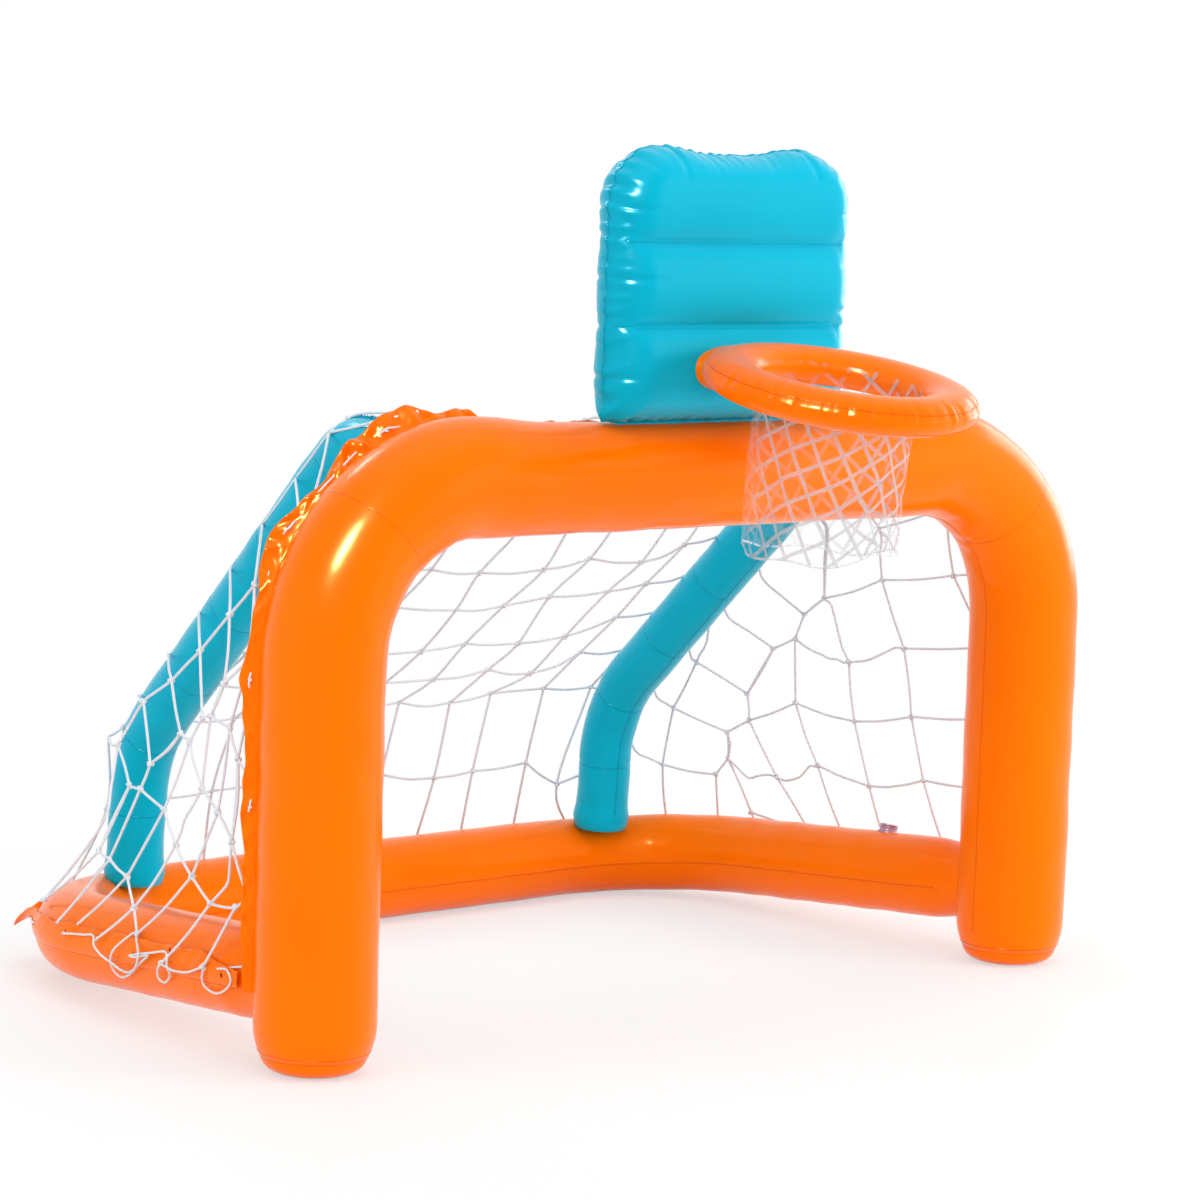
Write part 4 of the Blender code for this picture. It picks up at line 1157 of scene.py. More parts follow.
@dataclass
class Backboard:
    """The air cushion over the arch: two films welded round their edge and across in two lines."""

    width: float = 0.432
    height: float = 0.374
    thick: float = 0.104
    corner: float = 0.085
    edge: float = 0.052
    foot: tuple[float, float, float] = (0.0, -0.215437, 0.8434)
    welds: tuple[float, ...] = (0.350, 0.653)
    weld_half: float = 0.206
    cross_weld: tuple[float, float] = (0.0026, 0.0005)
    fin_size: tuple[float, float] = (0.0016, 0.0040)
    rim_r: float = 0.21
    strip_width: float = 0.380
    strip_height: float = 0.012
    creases_at: tuple[tuple[int, float, float], ...] = (
        (-1, 0.060, 0.040), (-1, 0.129, 0.030), (-1, 0.194, 0.050), (-1, 0.254, 0.030), (-1, 0.289, 0.040),
        (1, 0.070, 0.030), (1, 0.150, 0.040), (1, 0.215, 0.030), (1, 0.285, 0.035))
    top_creases_at: tuple[float, ...] = (-0.117, 0.128)
    columns: int = 168
    rows: int = 150

    def half_width(self, height: np.ndarray) -> np.ndarray:
        """The cushion's half width at a height, with round upper corners."""
        over = np.clip(height - (self.height - self.corner), 0, self.corner)
        return self.width / 2 - self.corner + np.sqrt(self.corner ** 2 - over ** 2)

    def rim_place(self, x: np.ndarray, height: np.ndarray) -> tuple[np.ndarray, np.ndarray]:
        """Where points of the cushion lie inside its seam.

        Args:
            x: Distances from the middle.
            height: Heights over the lower seam.

        Returns:
            Each point's distance round the seam and its depth inside the seam.
        """
        half = self.half_width(height)
        side = half - np.abs(x)
        top = self.height - height - np.maximum(0, np.abs(x) - (self.width / 2 - self.corner)) * 0.35
        depth = np.minimum(np.minimum(side, top), height)
        angle = np.arctan2(x, height - self.height * 0.5)
        return angle * self.rim_r, np.maximum(depth, 0)

    def creases(self, x: np.ndarray, height: np.ndarray, seed: int) -> np.ndarray:
        """How far the puckers at the seam pull the film in.

        Args:
            x: Distances from the middle.
            height: Heights over the lower seam.
            seed: Chooses the small puckers.

        Returns:
            The pull at each point.
        """
        around, depth = self.rim_place(x, height)
        pull = 0.0012 * np.abs(wobble(around, 0.012, seed, 6)) * np.exp(-depth / 0.010)
        pull += 0.0015 * np.clip(wobble(around, 0.034, seed + 1, 4), 0, 2) * np.exp(-depth / 0.018)
        for side, level, reach in self.creases_at:
            pull += 0.0036 * hump(height, level, 0.0035) * hump(self.half_width(height), x * side, reach)
        for place in self.top_creases_at:
            pull += 0.008 * hump(x, place, 0.005) * hump(height, self.height, 0.028)
        return pull

    def bulge(self, x: np.ndarray, height: np.ndarray) -> np.ndarray:
        """How far a film stands out from the seam's plane.

        Args:
            x: Distances from the middle.
            height: Heights over the lower seam.

        Returns:
            The distance from the plane at each point.
        """
        sides = np.clip((self.half_width(height) - np.abs(x)) / self.edge, 0, 1)
        ends = np.clip(np.minimum(height, self.height - height) / self.edge, 0, 1)
        rise = np.sqrt(1 - (1 - sides) ** 2) * np.sqrt(1 - (1 - ends) ** 2)
        dip = np.zeros_like(x)
        for share in self.welds:
            away = np.abs(height - share * self.height)
            dip += 0.30 * np.exp(-away / 0.013) * np.clip(sides * 1.6, 0, 1)
        crown = 1 + 0.05 * np.sin(np.clip(height / self.height, 0, 1) * math.pi * 3) ** 2 - 0.04
        return self.thick / 2 * rise * (1 - dip) * crown

    def film(self, name: str, facing: int, seed: int) -> bpy.types.Object:
        """One film of the cushion, a grid moved into its blown shape.

        Args:
            name: The film's name.
            facing: 1 for the front film, -1 for the back one.
            seed: Chooses the film's small puckers.

        Returns:
            The film.
        """
        obj = primitive(
            bpy.ops.mesh.primitive_grid_add, name, x_subdivisions=self.columns, y_subdivisions=self.rows, size=1)
        points = read_points(obj)
        u, v = points[:, 0] * 2, points[:, 1] + 0.5
        spread = np.sign(u) * (1 - (1 - np.abs(u)) ** 1.45)
        lift = 0.5 + 0.5 * np.sign(2 * v - 1) * (1 - (1 - np.abs(2 * v - 1)) ** 1.3)
        height = lift * self.height
        x = spread * self.half_width(height)
        out = self.bulge(x, height)
        out = np.maximum(out - self.creases(x, height, seed) * np.clip(out / 0.012, 0, 1), 0.0)
        rim, depth = self.rim_place(x, height)
        edge = np.exp(-depth / 0.012)
        scallop = 0.0022 * wobble(rim, 0.030, 41, 4) * edge
        dip = 0.010 * np.exp(-(x / 0.085) ** 4) * hump(height, self.height, 0.03)
        points[:, 0] = x * (1 - scallop / 0.2)
        points[:, 1] = -facing * out
        points[:, 2] = height - dip - scallop * np.sign(height - 0.18) * 0.5
        write_points(obj, points)
        return obj

    def fin(self, grid: np.ndarray) -> bpy.types.Object:
        """The flat welded rim that stands out all round the seam.

        Args:
            grid: A film's points as an array of row, column, and X, Y and Z.

        Returns:
            The rim.
        """
        loop = np.concatenate([grid[0, :-1], grid[:-1, -1], grid[-1, :0:-1], grid[:0:-1, 0]])
        keep = [0]
        for index in range(1, len(loop)):
            if np.linalg.norm(loop[index] - loop[keep[-1]]) > 0.0015:
                keep.append(index)
        loop = loop[keep]
        loop[:, 1] = 0.0006 * wobble(np.arange(len(loop)) * 0.0025, 0.03, 71)
        out = unit(np.cross(np.roll(loop, -2, 0) - np.roll(loop, 2, 0), BACK))
        fin = ribbon("seam_fin", loop, out, *self.fin_size, True)
        mark_weld_and_painted_shade(fin, 0.6)
        return fin

    def build(self, palette: Palette) -> None:
        """Builds both films, the seam's flat rim and the weld strip under the cushion.

        Args:
            palette: The materials.
        """
        front, back = self.film("cushion_front", 1, 21), self.film("cushion_back", -1, 57)
        rim = read_points(front).reshape(self.rows + 1, self.columns + 1, 3)
        obj = join([front, back], "backboard_film")
        start_edit(obj)
        end_edit(merge=0.0001)
        mark_weld_and_painted_shade(obj, 0.35 * np.exp(-np.abs(read_points(obj)[:, 1]) / 0.004))
        obj = join([obj, self.fin(rim), *self.cross_welds(obj)], "backboard_film")
        write_points(obj, read_points(obj) + np.array(self.foot))
        palette.place(obj, Slot.CYAN, "backboard", ["backboard"])
        self.strip(palette)

    def cross_welds(self, obj: bpy.types.Object) -> list[bpy.types.Object]:
        """The two weld lines across each film.

        Args:
            obj: Both films.

        Returns:
            The lines.
        """
        tree, lines = search_tree(obj), []
        for side in (-1, 1):
            for share in self.welds:
                starts = [Vector((x, side * 0.2, share * self.height))
                          for x in np.linspace(-self.weld_half, self.weld_half, 100)]
                places = np.array([tree.ray_cast(start, Vector((0, -side, 0)))[0] for start in starts])
                lines.append(ribbon("cross_weld", places, np.full(places.shape, BACK * side), *self.cross_weld))
                mark_weld_and_painted_shade(lines[-1], 0.6)
        return lines

    def strip(self, palette: Palette) -> None:
        """Builds the film strip that welds the cushion's lower seam to the arch.

        Args:
            palette: The materials.
        """
        obj = primitive(
            bpy.ops.mesh.primitive_grid_add, "cushion_weld_strip", x_subdivisions=90, y_subdivisions=4, size=1)
        points = read_points(obj)
        x, down = points[:, 0] * self.strip_width, (points[:, 1] + 0.5) * self.strip_height
        write_points(obj, np.array(self.foot) + np.stack([x, 0.0006 * np.sin(x * 170), -0.0004 - down], 1))
        apply_modifier(obj, "SOLIDIFY", thickness=0.0011, offset=0)
        mark_weld_and_painted_shade(obj, 0.3)
        palette.place(obj, Slot.CYAN, FRAME_BODY, ["backboard_weld_strip"])


@dataclass
class Hoop:
    """The inflated ring with its wide neck, and the clear sleeve that hangs inside it."""

    radius: float = 0.150
    tube_a: float = 0.039
    tube_b: float = 0.026
    centre: tuple[float, float, float] = (0.0, -0.455437, 0.900)
    tilt: float = math.radians(10.5)
    neck_width: float = 0.190
    neck_thick: float = 0.044
    neck_end: float = 0.262
    seam_z: float = 0.011
    seam_arc: tuple[float, float] = (121.0, 419.0)
    seam_size: tuple[float, float] = (0.0022, 0.0012)
    gather_pitch: float = 0.0085
    neck_step: float = 0.006
    sleeve_length: float = 0.225
    sleeve_r: float = 0.1095
    sleeve_taper: float = 0.95
    sleeve_drift: float = 0.020
    sleeve_tuck: float = 0.012
    print_r: float = 0.1065
    columns: int = 220
    rows: int = 70

    def local(self) -> Matrix:
        """The ring's own frame."""
        return Matrix.Translation(self.centre) @ Matrix.Rotation(self.tilt, 4, "X")

    def around(self, points: np.ndarray) -> np.ndarray:
        """How far round the ring's outer edge points in its own frame lie."""
        return np.arctan2(points[:, 1], points[:, 0]) * (self.radius + self.tube_a)

    def gathers(self, points: np.ndarray) -> np.ndarray:
        """How much painted shade the ring's points get: the deeper they lie in a gather beside the outer seam, the
        more.

        Args:
            points: The points in the ring's own frame.

        Returns:
            An amount from 0 to 1 for each point.
        """
        outer = smooth(np.hypot(points[:, 0], points[:, 1]), self.radius + 0.008, self.radius + 0.024)
        ripple = np.abs(wobble(self.around(points), self.gather_pitch, 5, 5))
        return np.clip(outer * ripple * hump(points[:, 2], self.seam_z, 0.012), 0, 1)

    def puckers(self, points: np.ndarray, normals: np.ndarray) -> np.ndarray:
        """Draws the ring's points in where the film gathers beside the outer seam.

        Args:
            points: The points in the ring's own frame.
            normals: The way the ring faces at each.

        Returns:
            The moved points.
        """
        around = self.around(points)
        outer = smooth(np.hypot(points[:, 0], points[:, 1]), self.radius + 0.006, self.radius + 0.022)
        rise = points[:, 2] - self.seam_z
        above = smooth(rise, -0.001, 0.002) * hump(np.clip(rise, 0, 1), 0, 0.010)
        below = smooth(-rise, -0.001, 0.002) * hump(np.clip(-rise, 0, 1), 0, 0.014)
        ripple = np.abs(wobble(around, self.gather_pitch, 5, 5)) ** 0.7
        uneven = 0.7 + 0.4 * wobble(around, 0.10, 6, 3)
        pull = outer * (0.0038 * uneven * (above + 0.9 * below) * ripple + 0.0012 * hump(rise, 0, 0.0022))
        return points - normals * pull[:, None]

    def neck(self) -> bpy.types.Object:
        """The neck, a flattened tube whose rear end lies against the backboard.

        Returns:
            The neck in the ring's own frame.
        """
        start = self.radius - 0.002
        length = self.neck_end - start
        neck = primitive(
            bpy.ops.mesh.primitive_cylinder_add, "neck", (self.neck_width, self.neck_thick, 1), vertices=96,
            radius=0.5, depth=length, location=(0, start + length / 2, 0), rotation=(math.pi / 2, 0, 0),
            end_fill_type="NGON")
        start_edit(neck)
        for place in (start + 0.02, *np.arange(start + 0.026, start + length - 0.004, self.neck_step)):
            bpy.ops.mesh.select_all(action="SELECT")
            bpy.ops.mesh.bisect(plane_co=(0, place, 0), plane_no=(0, 1, 0))
        bpy.ops.object.mode_set(mode="OBJECT")
        points = read_points(neck)
        board = search_tree(bpy.data.objects["backboard_film"])
        local = self.local()
        ahead = local.to_3x3() @ Vector((0, 1, 0))
        for point in points:
            hit, _, _, reach = board.ray_cast(local @ Vector((point[0], start, point[2])), ahead)
            share = (point[1] - start) / length
            point[1] = start + share * (reach + 0.0006 if hit else length)
            flare = smooth(share, 0.6, 1.0)
            point[0] *= 1 - 0.03 * float(smooth(share, 0.1, 0.5) * (1 - flare))
            ease = float(smooth(share, -0.2, 0.3))
            upper = 1.05 - 0.45 * float(smooth(share, 0, 0.8))
            lower = 1 + 1.1 * ease + 0.3 * share
            across = min(abs(point[0]) / (self.neck_width / 2), 1)
            box = (1 - across ** 2.5) ** 0.4 / max((1 - across ** 2) ** 0.5, 0.2)
            point[2] *= (upper + lower) / 2 * (1 + (box - 1) * ease)
            point[2] += (upper - lower) / 2 * self.neck_thick / 2
        write_points(neck, points)
        return neck

    def seam(self, ring: bpy.types.Object) -> bpy.types.Object:
        """The outer seam from one side of the neck round to the other.

        Args:
            ring: The ring with its neck.

        Returns:
            The seam in the ring's own frame.
        """
        tree = search_tree(ring)
        places, normals = [], []
        for angle in np.linspace(*(math.radians(turn) for turn in self.seam_arc), 420):
            ray = Vector((math.cos(angle), math.sin(angle), 0))
            places.append(tree.ray_cast(ray * 0.4 + Vector((0, 0, self.seam_z)), -ray)[0])
            normals.append(ray * 0.9 + Vector((0, 0, 0.45)))
        seam = ribbon("hoop_seam", np.array(places), np.array(normals), *self.seam_size)
        mark_weld_and_painted_shade(seam, 0.8)
        return seam

    def ring(self, palette: Palette) -> None:
        """Builds the ring and its neck as one chamber with the seam round it.

        Args:
            palette: The materials.
        """
        ring = primitive(
            bpy.ops.mesh.primitive_torus_add, "hoop_film", (1, 1, self.tube_b / self.tube_a), major_segments=900,
            minor_segments=56, major_radius=self.radius, minor_radius=self.tube_a)
        write_points(ring, self.puckers(read_points(ring), read_rows(ring.data.vertex_normals, "vector")))
        boolean(ring, self.neck(), "UNION")
        # Painted shade: the gathers beside the outer seam are darkened with the weld tone.
        mark_weld_and_painted_shade(ring, 0.35 * self.gathers(read_points(ring)))
        obj = join([ring, self.seam(ring)], "hoop_film")
        obj.data.transform(self.local())
        palette.place(obj, Slot.ORANGE, "", ["hoop_ring"])
        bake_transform(obj)

    def sleeve_rings(self) -> np.ndarray:
        """The sleeve's shape, with its slack folds and its uneven lower edge.

        Returns:
            Rings of points from the top down, as loft takes them.
        """
        angle = np.linspace(0, 2 * math.pi, self.columns, endpoint=False)[None, :]
        share = np.linspace(0, 1, self.rows)[:, None]
        drop = share * (self.sleeve_length + 0.006 * np.sin(2 * angle + 0.6) + 0.004 * np.sin(5 * angle))
        slack = share * 0.0042 * np.sin(3 * angle + 0.8 + 1.2 * share)
        slack = slack + 0.0016 * smooth(share, 0.0, 0.15) * np.sin(11 * angle + 3 * share)
        wide = self.sleeve_r * (1 + (self.sleeve_taper - 1) * share) + slack
        x = wide * np.cos(angle) - 0.009 * share ** 1.5
        y = wide * np.sin(angle) + self.sleeve_drift * (1 - (1 - share) ** 2)
        z = self.sleeve_tuck - drop * (1 + self.sleeve_tuck / self.sleeve_length)
        rings = np.stack([x, y, z], -1) + np.array(self.centre)
        rings[:, :, 2] += (rings[:, :, 1] - self.centre[1]) * math.tan(self.tilt) * (1 - share)
        return rings

    def sleeve(self, palette: Palette) -> None:
        """Builds the sleeve as a hanging tube of film, with a map in metres for its print.

        Args:
            palette: The materials.
        """
        obj = loft("basket_film", self.sleeve_rings(), capped=False)
        coords = []
        for polygon in obj.data.polygons:
            ids = [index % self.columns for index in polygon.vertices]
            wrap = max(ids) - min(ids) > 1
            for index, column in zip(polygon.vertices, ids):
                turn = (column + (self.columns if wrap and column == 0 else 0)) / self.columns
                coords += [turn * 2 * math.pi * self.print_r,
                           -(index // self.columns) / (self.rows - 1) * self.sleeve_length]
        obj.data.uv_layers.new(name="film").data.foreach_set("uv", np.array(coords, dtype=np.float32))
        face_outwards(obj)
        apply_modifier(obj, "SOLIDIFY", thickness=0.0006, offset=0)
        palette.place(obj, Slot.CLEAR, "hoop", ["basket_sleeve"])

    def build(self, palette: Palette) -> None:
        """Builds the ring and the sleeve."""
        self.ring(palette)
        self.sleeve(palette)


# Film flaps, strings and nets.


def flow(points: Sequence[Sequence[float]] | np.ndarray, pitch: float) -> np.ndarray:
    """A smooth line through points.

    Args:
        points: The points in order.
        pitch: The distance between the line's points.

    Returns:
        The line's points.
    """
    knots = np.asarray(points, float)
    ends = np.vstack([2 * knots[0] - knots[1], knots, 2 * knots[-1] - knots[-2]])
    line = [knots[:1]]
    for a, b, c, d in zip(ends, ends[1:], ends[2:], ends[3:]):
        steps = max(2, round(float(np.linalg.norm(c - b)) / pitch))
        t = np.linspace(0, 1, steps + 1)[1:, None]
        line.append(0.5 * (2 * b + (c - a) * t + (2 * a - 5 * b + 4 * c - d) * t ** 2
                           + (3 * b - a - 3 * c + d) * t ** 3))
    return np.vstack(line)


class StringWork:
    """Gathers strands and knots into one piece, with a map for the twist of their strands."""

    def __init__(self) -> None:
        """Starts with nothing tied."""
        self.points: list[np.ndarray] = []
        self.faces: list[list[int]] = []
        self.coords: list[float] = []
        self.count = 0

    def strand(self, points: np.ndarray, radius: float, sides: int = 7, closed: bool = False) -> None:
        """Adds one round strand.

        Args:
            points: Its middle line.
            radius: Its radius.
            sides: How many sides it has.
            closed: True for a loop.
        """
        rings = strand_rings(points, radius, sides, closed)
        count = len(rings)
        ids = np.arange(count * sides).reshape(count, sides) + self.count
        run = distances(points)
        for row in range(count if closed else count - 1):
            after = (row + 1) % count
            low, high = run[row], run[after] if after else run[-1] + np.linalg.norm(points[0] - points[-1])
            for side in range(sides):
                right = (side + 1) % sides
                self.faces.append([int(i) for i in (
                    ids[row, side], ids[row, right], ids[after, right], ids[after, side])])
                u, w = side / sides, (side + 1) / sides
                self.coords += [u, low, w, low, w, high, u, high]
        if not closed:
            for ring, order in ((ids[0], -1), (ids[-1], 1)):
                self.faces.append([int(i) for i in ring[::order]])
                self.coords += [0.0, 0.0] * sides
        self.points.append(rings.reshape(-1, 3))
        self.count += count * sides

    def knot(self, place: np.ndarray, size: float, seed: int) -> None:
        """Adds a small tied knot.

        Args:
            place: Its middle.
            size: How far it reaches from its middle.
            seed: Chooses how it is turned.
        """
        rng = np.random.default_rng(seed)
        angle = np.linspace(0, 2 * math.pi, 16, endpoint=False)
        loop = np.stack([np.sin(angle) + 2 * np.sin(2 * angle), np.cos(angle) - 2 * np.cos(2 * angle),
                         -1.1 * np.sin(3 * angle)], 1) / 3
        turn = np.array(Matrix.Rotation(rng.uniform(0, 6.28), 3, rng.normal(size=3)))
        self.strand(np.asarray(place) + loop @ turn.T * size, size * 0.55, 5, True)

    def build(self, name: str) -> bpy.types.Object:
        """Makes the piece.

        Args:
            name: Its name.

        Returns:
            The strands and knots as one piece.
        """
        obj = new_piece(name, np.vstack(self.points).tolist(), self.faces)
        obj.data.uv_layers.new(name="string").data.foreach_set("uv", np.array(self.coords, dtype=np.float32))
        face_outwards(obj)
        return obj


class Film:
    """A welded strip of film along a tube, with a free edge, eyelets and gathers."""

    steps: int = 900
    rows: int = 10
    thick: float = 0.0009
    eyelet_r: float = 0.0028
    eyelet_edge: float = 0.0010

    def __init__(self, points: np.ndarray) -> None:
        """Measures the tube's centre line.

        Args:
            points: The line's points where the film runs.
        """
        self.line = Line(points)
        self.length = self.line.length

    def place(self, s: np.ndarray, share: np.ndarray) -> np.ndarray:
        """Points of the film at distances and shares of its width."""
        raise NotImplementedError

    def at(self, s: float, share: float, lift: float = 0.0) -> np.ndarray:
        """A point of the film, lifted off it on its outer side."""
        return self.place(np.array([s]), np.array([share]))[0] + self.normal(s, share) * lift

    def normal(self, s: float, share: float) -> np.ndarray:
        """The way the film faces on its outer side.

        Args:
            s: A distance along the tube.
            share: A share of the film's width.

        Returns:
            A direction with a length of 1.
        """
        before, after = self.place(np.array([s - 0.002, s + 0.002]), np.array([share, share]))
        low, high = self.place(np.array([s, s]), np.array([share - 0.05, share + 0.05]))
        normal = unit(np.cross(after - before, high - low))
        return normal if normal @ self.outward(s) > 0 else -normal

    def outward(self, s: float) -> np.ndarray:
        """A direction on the film's outer side."""
        raise NotImplementedError

    def eyelets(self) -> list[tuple[float, float]]:
        """The eyelets' distances and shares of the width."""
        raise NotImplementedError

    def build(self, name: str) -> bpy.types.Object:
        """Builds the film with its eyelet holes and the weld ring round each.

        Args:
            name: The film's name.

        Returns:
            The film.
        """
        s = np.linspace(0, self.length, self.steps + 1)
        share = np.linspace(0, 1, self.rows + 1)
        grid_s, grid_share = np.meshgrid(s, share, indexing="ij")
        points = self.place(grid_s.ravel(), grid_share.ravel())
        ids = np.arange(points.shape[0]).reshape(self.steps + 1, self.rows + 1)
        faces = np.stack([ids[:-1, :-1], ids[1:, :-1], ids[1:, 1:], ids[:-1, 1:]], -1).reshape(-1, 4)
        film = new_piece(name, points.tolist(), faces.tolist())
        apply_modifier(film, "SOLIDIFY", thickness=self.thick, offset=0)
        rings, punches = [], []
        for place, share_at in self.eyelets():
            middle, normal = self.at(place, share_at), self.normal(place, share_at)
            turn = Vector(normal).to_track_quat("Z", "Y").to_euler()
            punches.append(primitive(
                bpy.ops.mesh.primitive_cylinder_add, "punch", vertices=14, radius=self.eyelet_r, depth=0.012,
                location=middle, rotation=turn))
            rings.append(primitive(
                bpy.ops.mesh.primitive_torus_add, "eyelet_ring", major_segments=20, minor_segments=8,
                major_radius=self.eyelet_r + 0.0011, minor_radius=self.eyelet_edge, location=middle, rotation=turn))
        boolean(film, join(punches, "punches"), "DIFFERENCE")
        mark_weld_and_painted_shade(film, 0.0)
        for ring in rings:
            mark_weld_and_painted_shade(ring, 0.5)
        return join([film, *rings], name)


class ArchFilm(Film):
    """The film round the outside of the arch, drawn out to peaks where the net is tied."""

    angle: float = math.radians(38)
    tube_r: float = 0.0823
    start_z: float = 0.100
    widths: tuple[tuple[float, float], ...] = (
        (0.00, 12), (0.10, 18), (0.18, 15), (0.245, 21), (0.30, 16), (0.36, 19), (0.412, 26), (0.44, 19), (0.47, 15),
        (0.50, 15), (0.522, 23), (0.555, 30), (0.575, 26), (0.60, 16.5), (0.635, 9), (0.66, 18), (0.685, 30),
        (0.703, 27), (0.735, 37), (0.762, 42), (0.783, 26), (0.80, 21), (0.833, 32), (0.858, 21), (0.92, 15),
        (1.02, 13), (1.231, 12))
    ties: tuple[float, ...] = (0.555, 0.685, 0.762, 0.833)
    stretch: float = 0.985

    def __init__(self) -> None:
        """Takes the arch's centre line over the feet."""
        points = FrontArch().route().samples(ROUTE_PITCH)
        super().__init__(points[points[:, 2] >= self.start_z - 1e-4])

    def sided(self, s: np.ndarray) -> np.ndarray:
        """Distances from the nearer end, a little longer on the right so that the sides differ."""
        return np.where(s < self.length / 2, s, (self.length - s) * self.stretch)

    def width(self, s: np.ndarray) -> np.ndarray:
        """The film's width.

        Args:
            s: Distances along the tube.

        Returns:
            The width at each.
        """
        table = np.array(self.widths)
        near = self.sided(s)
        wide = sum(np.interp(near + shift, table[:, 0], table[:, 1]) for shift in (-0.006, -0.002, 0.002, 0.006)) / 4
        return wide / 1000 + 0.0012 * wobble(s, 0.060, 77)

    def frame(self, s: np.ndarray) -> tuple[np.ndarray, np.ndarray, np.ndarray]:
        """How the film stands on the tube.

        Args:
            s: Distances along the tube.

        Returns:
            The tube's middle, the direction away from it and the film's own normal at each.
        """
        point, ahead = self.line.at(s)
        out, cos, sin = unit(np.cross(ahead, BACK)), math.cos(self.angle), math.sin(self.angle)
        return point, out * cos + BACK * sin, BACK * cos - out * sin

    def outward(self, s: float) -> np.ndarray:
        """A direction on the film's outer side."""
        return self.frame(np.array([s]))[2][0]

    def place(self, s: np.ndarray, share: np.ndarray) -> np.ndarray:
        """Points of the film, with the folds beside its ties and its crumples.

        Args:
            s: Distances along the tube.
            share: Shares of the film's width.

        Returns:
            The points.
        """
        point, radial, normal = self.frame(s)
        sunk = 1 - smooth(np.abs(point[:, 0]), FrontArch.saddle_flat, FrontArch.saddle_fade)
        sunk = sunk * (point[:, 2] > 0.6)
        near = self.sided(s)
        fold = np.zeros(len(s))
        for index, tie in enumerate(self.ties):
            q = (near - tie) / (0.044 - 0.022 * share)
            fold += 0.0060 * np.cos(2 * math.pi * (0.9 * q + 0.21 * index)) * np.exp(-q * q) * np.sin(
                math.pi * np.clip(share, 0, 1) * 0.92)
        corner = smooth(near, 0.42, 0.52) * (1 - smooth(near, 0.86, 1.0))
        lean = 0.020 * share
        crumple = np.abs(wobble(s + lean, 0.100, 31, 3)) + 0.4 * np.abs(wobble(s - 2 * lean, 0.062, 32, 3)) - 0.5
        fold += (0.0034 + 0.0040 * corner) * share ** 0.7 * crumple
        reach = self.tube_r + self.width(s) * share - sunk * 0.0107 - 0.0022 * (1 - share) ** 6
        return point + radial * reach[:, None] + normal * fold[:, None]

    def eyelets(self) -> list[tuple[float, float]]:
        """The eyelets' distances and shares of the width."""
        left = ((0.245, 0.45), (0.412, 0.48), (0.575, 0.42), (0.728, 0.40), (1.02, 0.45))
        return [*left, *((self.side(s, Side.RIGHT), share) for s, share in reversed(left))]

    def side(self, distance: float, side: Side) -> float:
        """The place of a point on one side by its distance from that side's end."""
        return distance if side is Side.LEFT else self.length - distance / self.stretch

    def above(self, x: float) -> float:
        """The distance at which the film's edge has a given X."""
        s = np.linspace(0.45, self.length - 0.45, 1500)
        return float(np.interp(x, self.place(s, np.full(len(s), 0.9))[:, 0], s))


